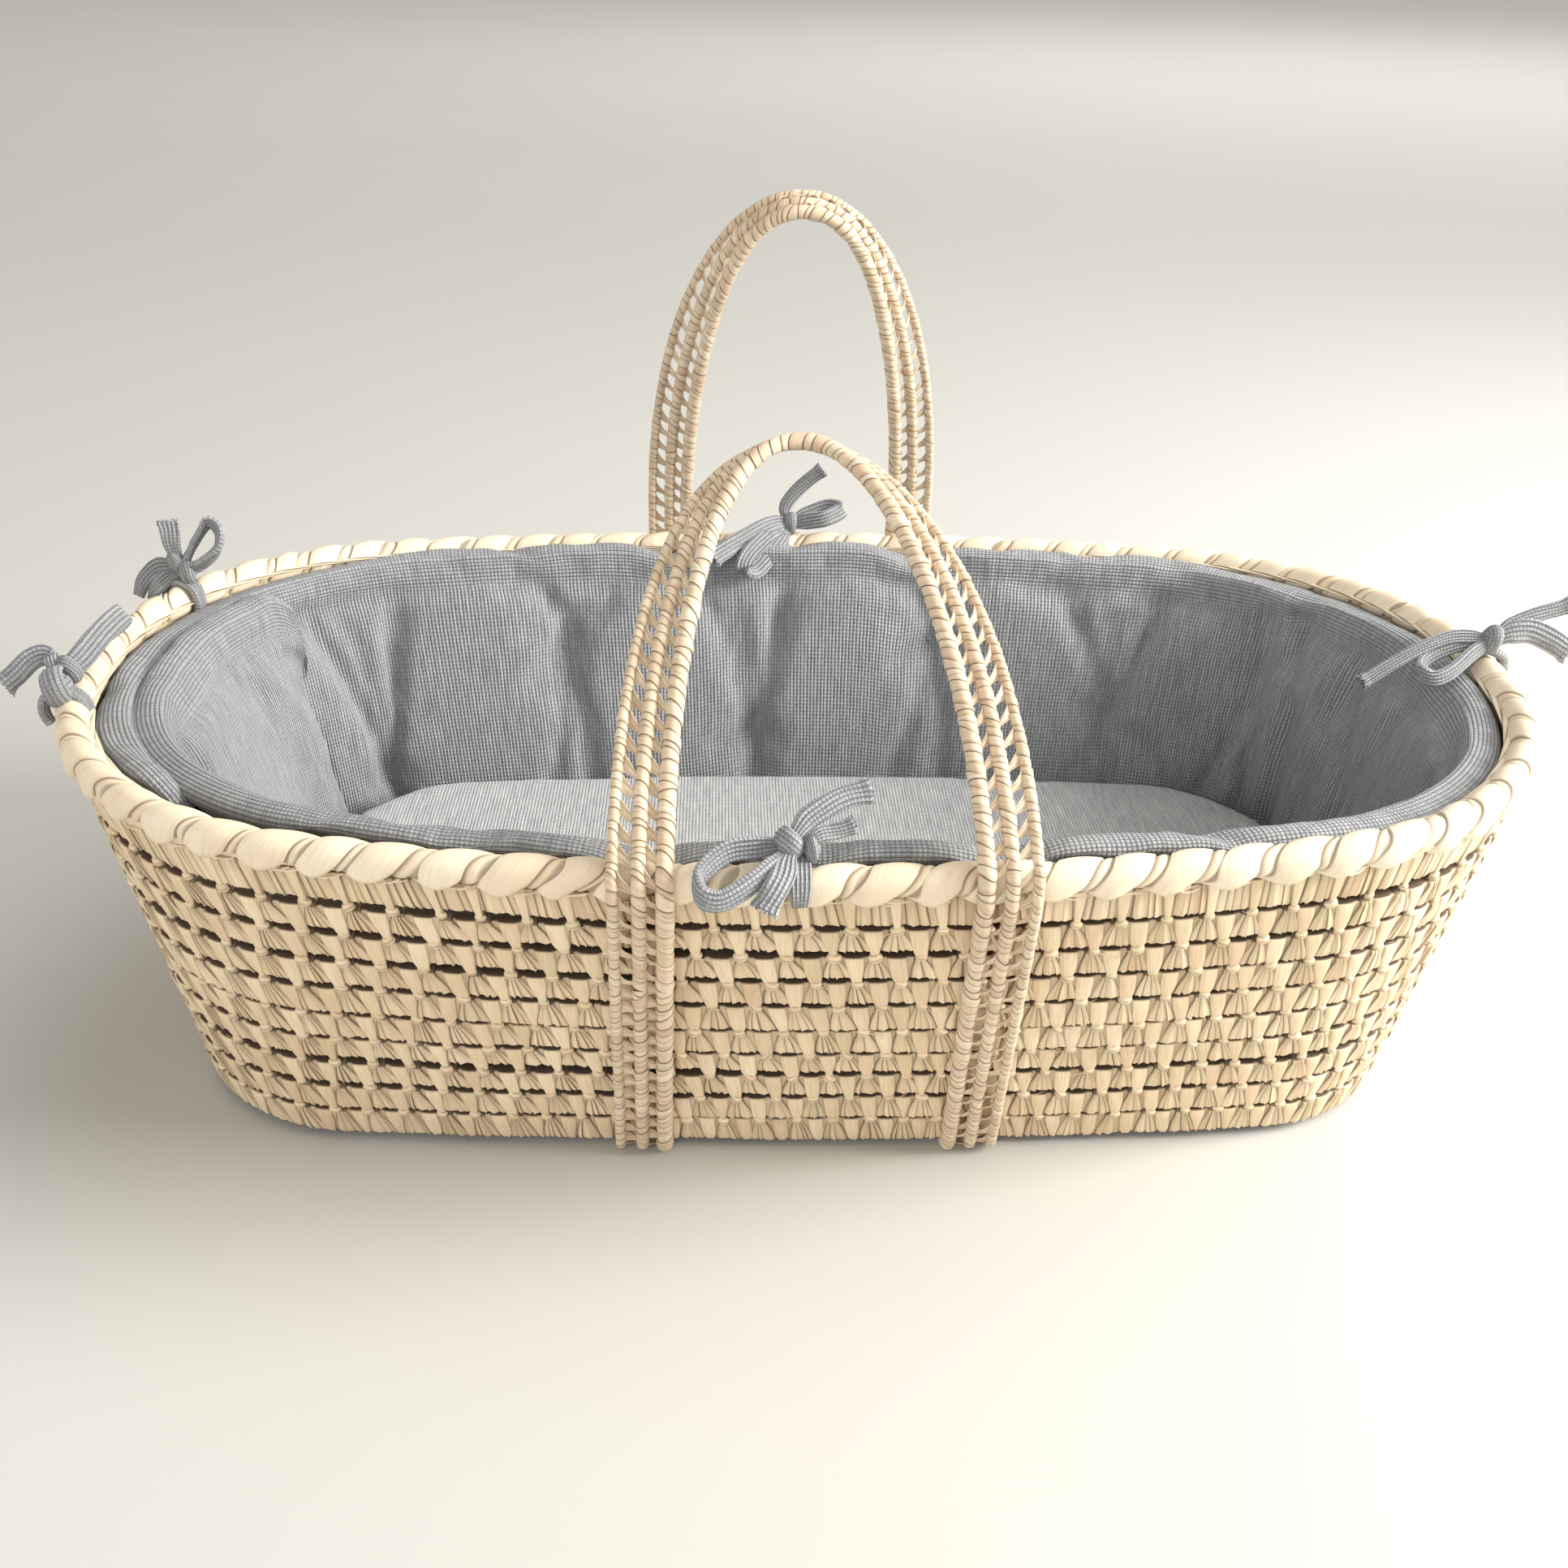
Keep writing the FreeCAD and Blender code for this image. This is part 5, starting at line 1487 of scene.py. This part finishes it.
def add_fringe(piece, tip, tangent, side, over, width, rng):
    """A short frayed hem at a tail's cut end."""
    for k in range(FRINGE):
        turn = TAU * k / FRINGE + rng.uniform(-0.1, 0.1)
        begin = tip + side * (0.53 * width * math.cos(turn)) + over * (2.4 * MM * math.sin(turn))
        t = np.linspace(-0.6, 1, 6)[:, None]
        stray = side * rng.normal(0, 0.7 * MM) + over * rng.normal(0, 0.9 * MM)
        line = begin + tangent * rng.uniform(0.8, 1.7) * MM * t + stray * t**2
        add_fibre(piece, line, side, 0.40 * MM, (0, 0, 0), (rng.random(), rng.random(), 0))


def add_knot_wrap(piece, centre, axis, size, width):
    """One turn of tape round the middle of the bow: a fat ribbed ring with a filled middle."""
    axis = np.asarray(axis, float) / np.linalg.norm(axis)
    first = np.array([0, 0, 1.0]) - axis * axis[2]
    first /= np.linalg.norm(first)
    second = np.cross(axis, first)
    around = 4 * int(round(TAU * (size + 1.5 * MM) / BEAD))
    u, v = tape_section()
    rib = 0.5 - 0.5 * np.cos(math.pi * TAPE_RIBS * (u + 1))
    turn = np.arange(around) * TAU / around
    ring = np.zeros((around, len(u), 3))
    for k, angle in enumerate(turn):
        outward = first * math.cos(angle) + second * math.sin(angle)
        bead = 0.5 + 0.5 * math.cos(angle * around / 4)
        swell = 1 + 0.08 * math.sin(2 * angle + 0.6)
        r = size * swell + v * 1.7 * MM - 1.6 * MM * u**2
        r = r + 0.60 * MM * rib * (0.35 + 0.65 * bead) * (v > 0)
        lean = 0.25 * width * math.cos(angle + 0.4)
        ring[k] = centre + outward * r[:, None] + axis * (u * width + lean)[:, None]
    grain = np.stack(np.broadcast_arrays(u[None] * 6 * MM, turn[:, None] * around / 4 * BEAD / TAU, 0.0), -1)
    faces = grid_faces(around, len(u), wrap_columns=True, wrap_rows=True)
    piece.add(ring, faces, (0, 0, 0), grain.reshape(-1, 3))
    core, core_faces, _ = KNOT
    body = centre + core[:, :1] * first * size * 0.95 + core[:, 1:2] * second * size * 0.95
    piece.add(body + core[:, 2:] * axis * (width + 1.5 * MM), core_faces, (0, 0, 0), core * 6 * MM)


# The tape over the rim: how far in from the rim's middle and how far above it, in mm
OVER_STEPS = [(OVER_RIM - 0.5, -9), (OVER_RIM + 0.6, 2), (OVER_RIM * 0.78, OVER_RIM * 0.85)]
OVER_STEPS += [(0, OVER_RIM + 1.5), (-OVER_RIM * 0.80, OVER_RIM * 0.80), (-OVER_RIM - 0.6, 3)]
OVER_STEPS += [(-OVER_RIM - 0.4, -2), (1.5 - OVER_RIM, -6.5)]


def make_ties():
    """Five bows, each with its tape over the rim, its loops and tails and its knot."""
    for tie in TIES:
        rng = np.random.default_rng(sum(tie.name.encode()))
        piece = Piece()
        inward = tie.inward / np.linalg.norm(tie.inward)
        along = np.cross([0, 0, 1.0], inward)
        over = [inward * way + [0, 0, up] for way, up in OVER_STEPS]
        add_tape(piece, over, along, rng, False, OVER_WIDTH, 0.8)
        for kind, across, width, points in tie.tapes:
            add_tape(piece, np.asarray(points) + tie.knot, across, rng, kind == "tail", width)
        for place, axis, size, width in tie.wraps:
            add_knot_wrap(piece, (tie.knot + place) * MM, axis, size * MM, width * MM)
        piece.points = [rise(p + tie.rim * MM) for p in piece.points]
        made = piece.build(f"{tie.name}_bow", TAPE_CLOTH)
        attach(made, "basket")
        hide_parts(tie.name)


# ---------------------------------------------------------------- mattress


MATTRESS_VOXEL, MATTRESS_RAISE = 6 * MM, 6.5 * MM
MATTRESS_PRESSURE, MATTRESS_SWELL, MATTRESS_FRAMES = 2.2, 4 * MM, 12


def make_mattress():
    """The pad swells a little from its CAD shape, under a heather cover with a rounded edge."""
    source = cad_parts["mattress_cover"]
    made = source.copy()
    made.data = source.data.copy()
    made.name = made.data.name = "mattress"
    made.animation_data_clear()
    made.parent = None
    made.matrix_world = source.matrix_world.copy()
    made.hide_render = False
    bpy.context.scene.collection.objects.link(made)
    made.data.transform(made.matrix_world)
    made.matrix_world = Matrix.Identity(4)
    for key in list(made.keys()):
        del made[key]
    remesh = made.modifiers.new("remesh", "REMESH")
    remesh.mode, remesh.voxel_size = "VOXEL", MATTRESS_VOXEL
    apply_modifier(made, "remesh")
    points = read_points(made)
    low, high = points.min(0), points.max(0)
    level = (points[:, 2] - low[2]) / (high[2] - low[2])
    centre = 0.5 * (low + high)
    shrink = 1 - 0.004 * (1 + smooth((level - 0.75) / 0.25))
    points[:, :2] = centre[:2] + (points[:, :2] - centre[:2]) * shrink[:, None]
    points[:, 2] += MATTRESS_RAISE * smooth((level - 0.3) / 0.7)
    write_points(made, points)
    pins = (level < 0.12).astype(float)
    puff_up(made, pins, MATTRESS_PRESSURE, MATTRESS_SWELL, 0.0, frames=MATTRESS_FRAMES)
    subdivide(made)
    x, y, z = read_points(made).T
    set_grain(made.data, np.column_stack([x, y + z, z]))
    made.data.materials.clear()
    made.data.materials.append(MATTRESS_CLOTH)
    made.data.polygons.foreach_set("use_smooth", [True] * len(made.data.polygons))
    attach(made, "mattress")
    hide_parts("mattress_cover", "mattress_core")


# ---------------------------------------------------------------- build

weave_wall()
wind_rim()
weave_base()
make_bands()
make_bumper()
make_mattress()
make_ties()

for name in ("rim_core", "base_start"):
    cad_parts[name].data.materials.clear()
    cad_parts[name].data.materials.append(WALL_LEAF)

# ---------------------------------------------------------------- floor, light and camera


FLOOR_SIZE, FLOOR_DROP = 80, 0.4 * MM
ROOM_COLOUR, ROOM_STRENGTH = (0.84, 0.81, 0.745, 1), 0.53
CAMERA_PLACE, CAMERA_LENS, CAMERA_NEAR = (-0.049, -0.905, 0.617), 37.99, 0.02
CAMERA_PITCH, CAMERA_YAW, CAMERA_ROLL = 0.482, 0.043, 0.024


def make_floor():
    bpy.ops.mesh.primitive_plane_add(size=FLOOR_SIZE, location=(0, 0, -FLOOR_DROP))
    floor = bpy.context.object
    floor.name = "floor"
    floor.data.materials.append(floor_material())


def make_light(name, place, target, size, power, colour):
    """A round soft lamp at a place, turned towards its target."""
    lamp = bpy.data.lights.new(name, "AREA")
    lamp.shape, lamp.size, lamp.energy, lamp.color = "DISK", size, power, colour
    holder = bpy.data.objects.new(name, lamp)
    holder.location = place
    holder.rotation_mode = "QUATERNION"
    holder.rotation_quaternion = (Vector(target) - Vector(place)).to_track_quat("-Z", "Y")
    bpy.context.scene.collection.objects.link(holder)


def make_sun(name, way, spread, power, colour):
    """Broad soft light that reaches the far floor too. way points at the light."""
    lamp = bpy.data.lights.new(name, "SUN")
    lamp.angle, lamp.energy, lamp.color = math.radians(spread), power, colour
    holder = bpy.data.objects.new(name, lamp)
    holder.rotation_mode = "QUATERNION"
    holder.rotation_quaternion = Vector(way).to_track_quat("Z", "Y")
    bpy.context.scene.collection.objects.link(holder)


def make_world():
    world = bpy.data.worlds.new("room")
    world.use_nodes = True
    background = world.node_tree.nodes["Background"]
    background.inputs["Color"].default_value = ROOM_COLOUR
    background.inputs["Strength"].default_value = ROOM_STRENGTH
    bpy.context.scene.world = world


def make_camera():
    """A camera a little to the left of the middle, looking down at the basket."""
    place = Vector(CAMERA_PLACE)
    pitch, yaw, roll = CAMERA_PITCH, CAMERA_YAW, CAMERA_ROLL
    forward = Vector((math.sin(yaw) * math.cos(pitch), math.cos(yaw) * math.cos(pitch), -math.sin(pitch)))
    right = Vector((math.cos(yaw), -math.sin(yaw), 0))
    up = right.cross(forward)
    side = math.cos(roll) * right + math.sin(roll) * up
    top = math.cos(roll) * up - math.sin(roll) * right
    data = bpy.data.cameras.new("camera")
    data.sensor_width = 36
    data.lens, data.clip_start = CAMERA_LENS, CAMERA_NEAR
    camera = bpy.data.objects.new("camera", data)
    camera.matrix_world = Matrix(
        (
            (side.x, top.x, -forward.x, place.x),
            (side.y, top.y, -forward.y, place.y),
            (side.z, top.z, -forward.z, place.z),
            (0, 0, 0, 1),
        )
    )
    bpy.context.scene.collection.objects.link(camera)
    bpy.context.scene.camera = camera


WARM, DAYLIGHT = (1.0, 0.97, 0.925), (1.0, 0.985, 0.955)
LIGHTS = [
    (make_light, "key", (2.4, -0.35, 1.25), (0.0, 0.0, 0.12), 1.3, 135, WARM),
    (make_light, "front", (-0.4, -2.6, 1.4), (0.0, 0.0, 0.1), 2.0, 22, (1.0, 0.985, 0.96)),
    (make_sun, "day", (0.55, 0.10, 1.0), 50, 1.02, DAYLIGHT),
    (make_sun, "fill", (-1.0, -0.35, 0.07), 30, 0.95, DAYLIGHT),
    (make_light, "back", (3.4, 7.0, 5.4), (3.6, 8.4, 0.0), 6.0, 270, (1.0, 0.985, 0.95)),
]

make_floor()
make_world()
for make, *values in LIGHTS:
    make(*values)
bpy.context.scene.view_settings.view_transform = "Standard"
make_camera()
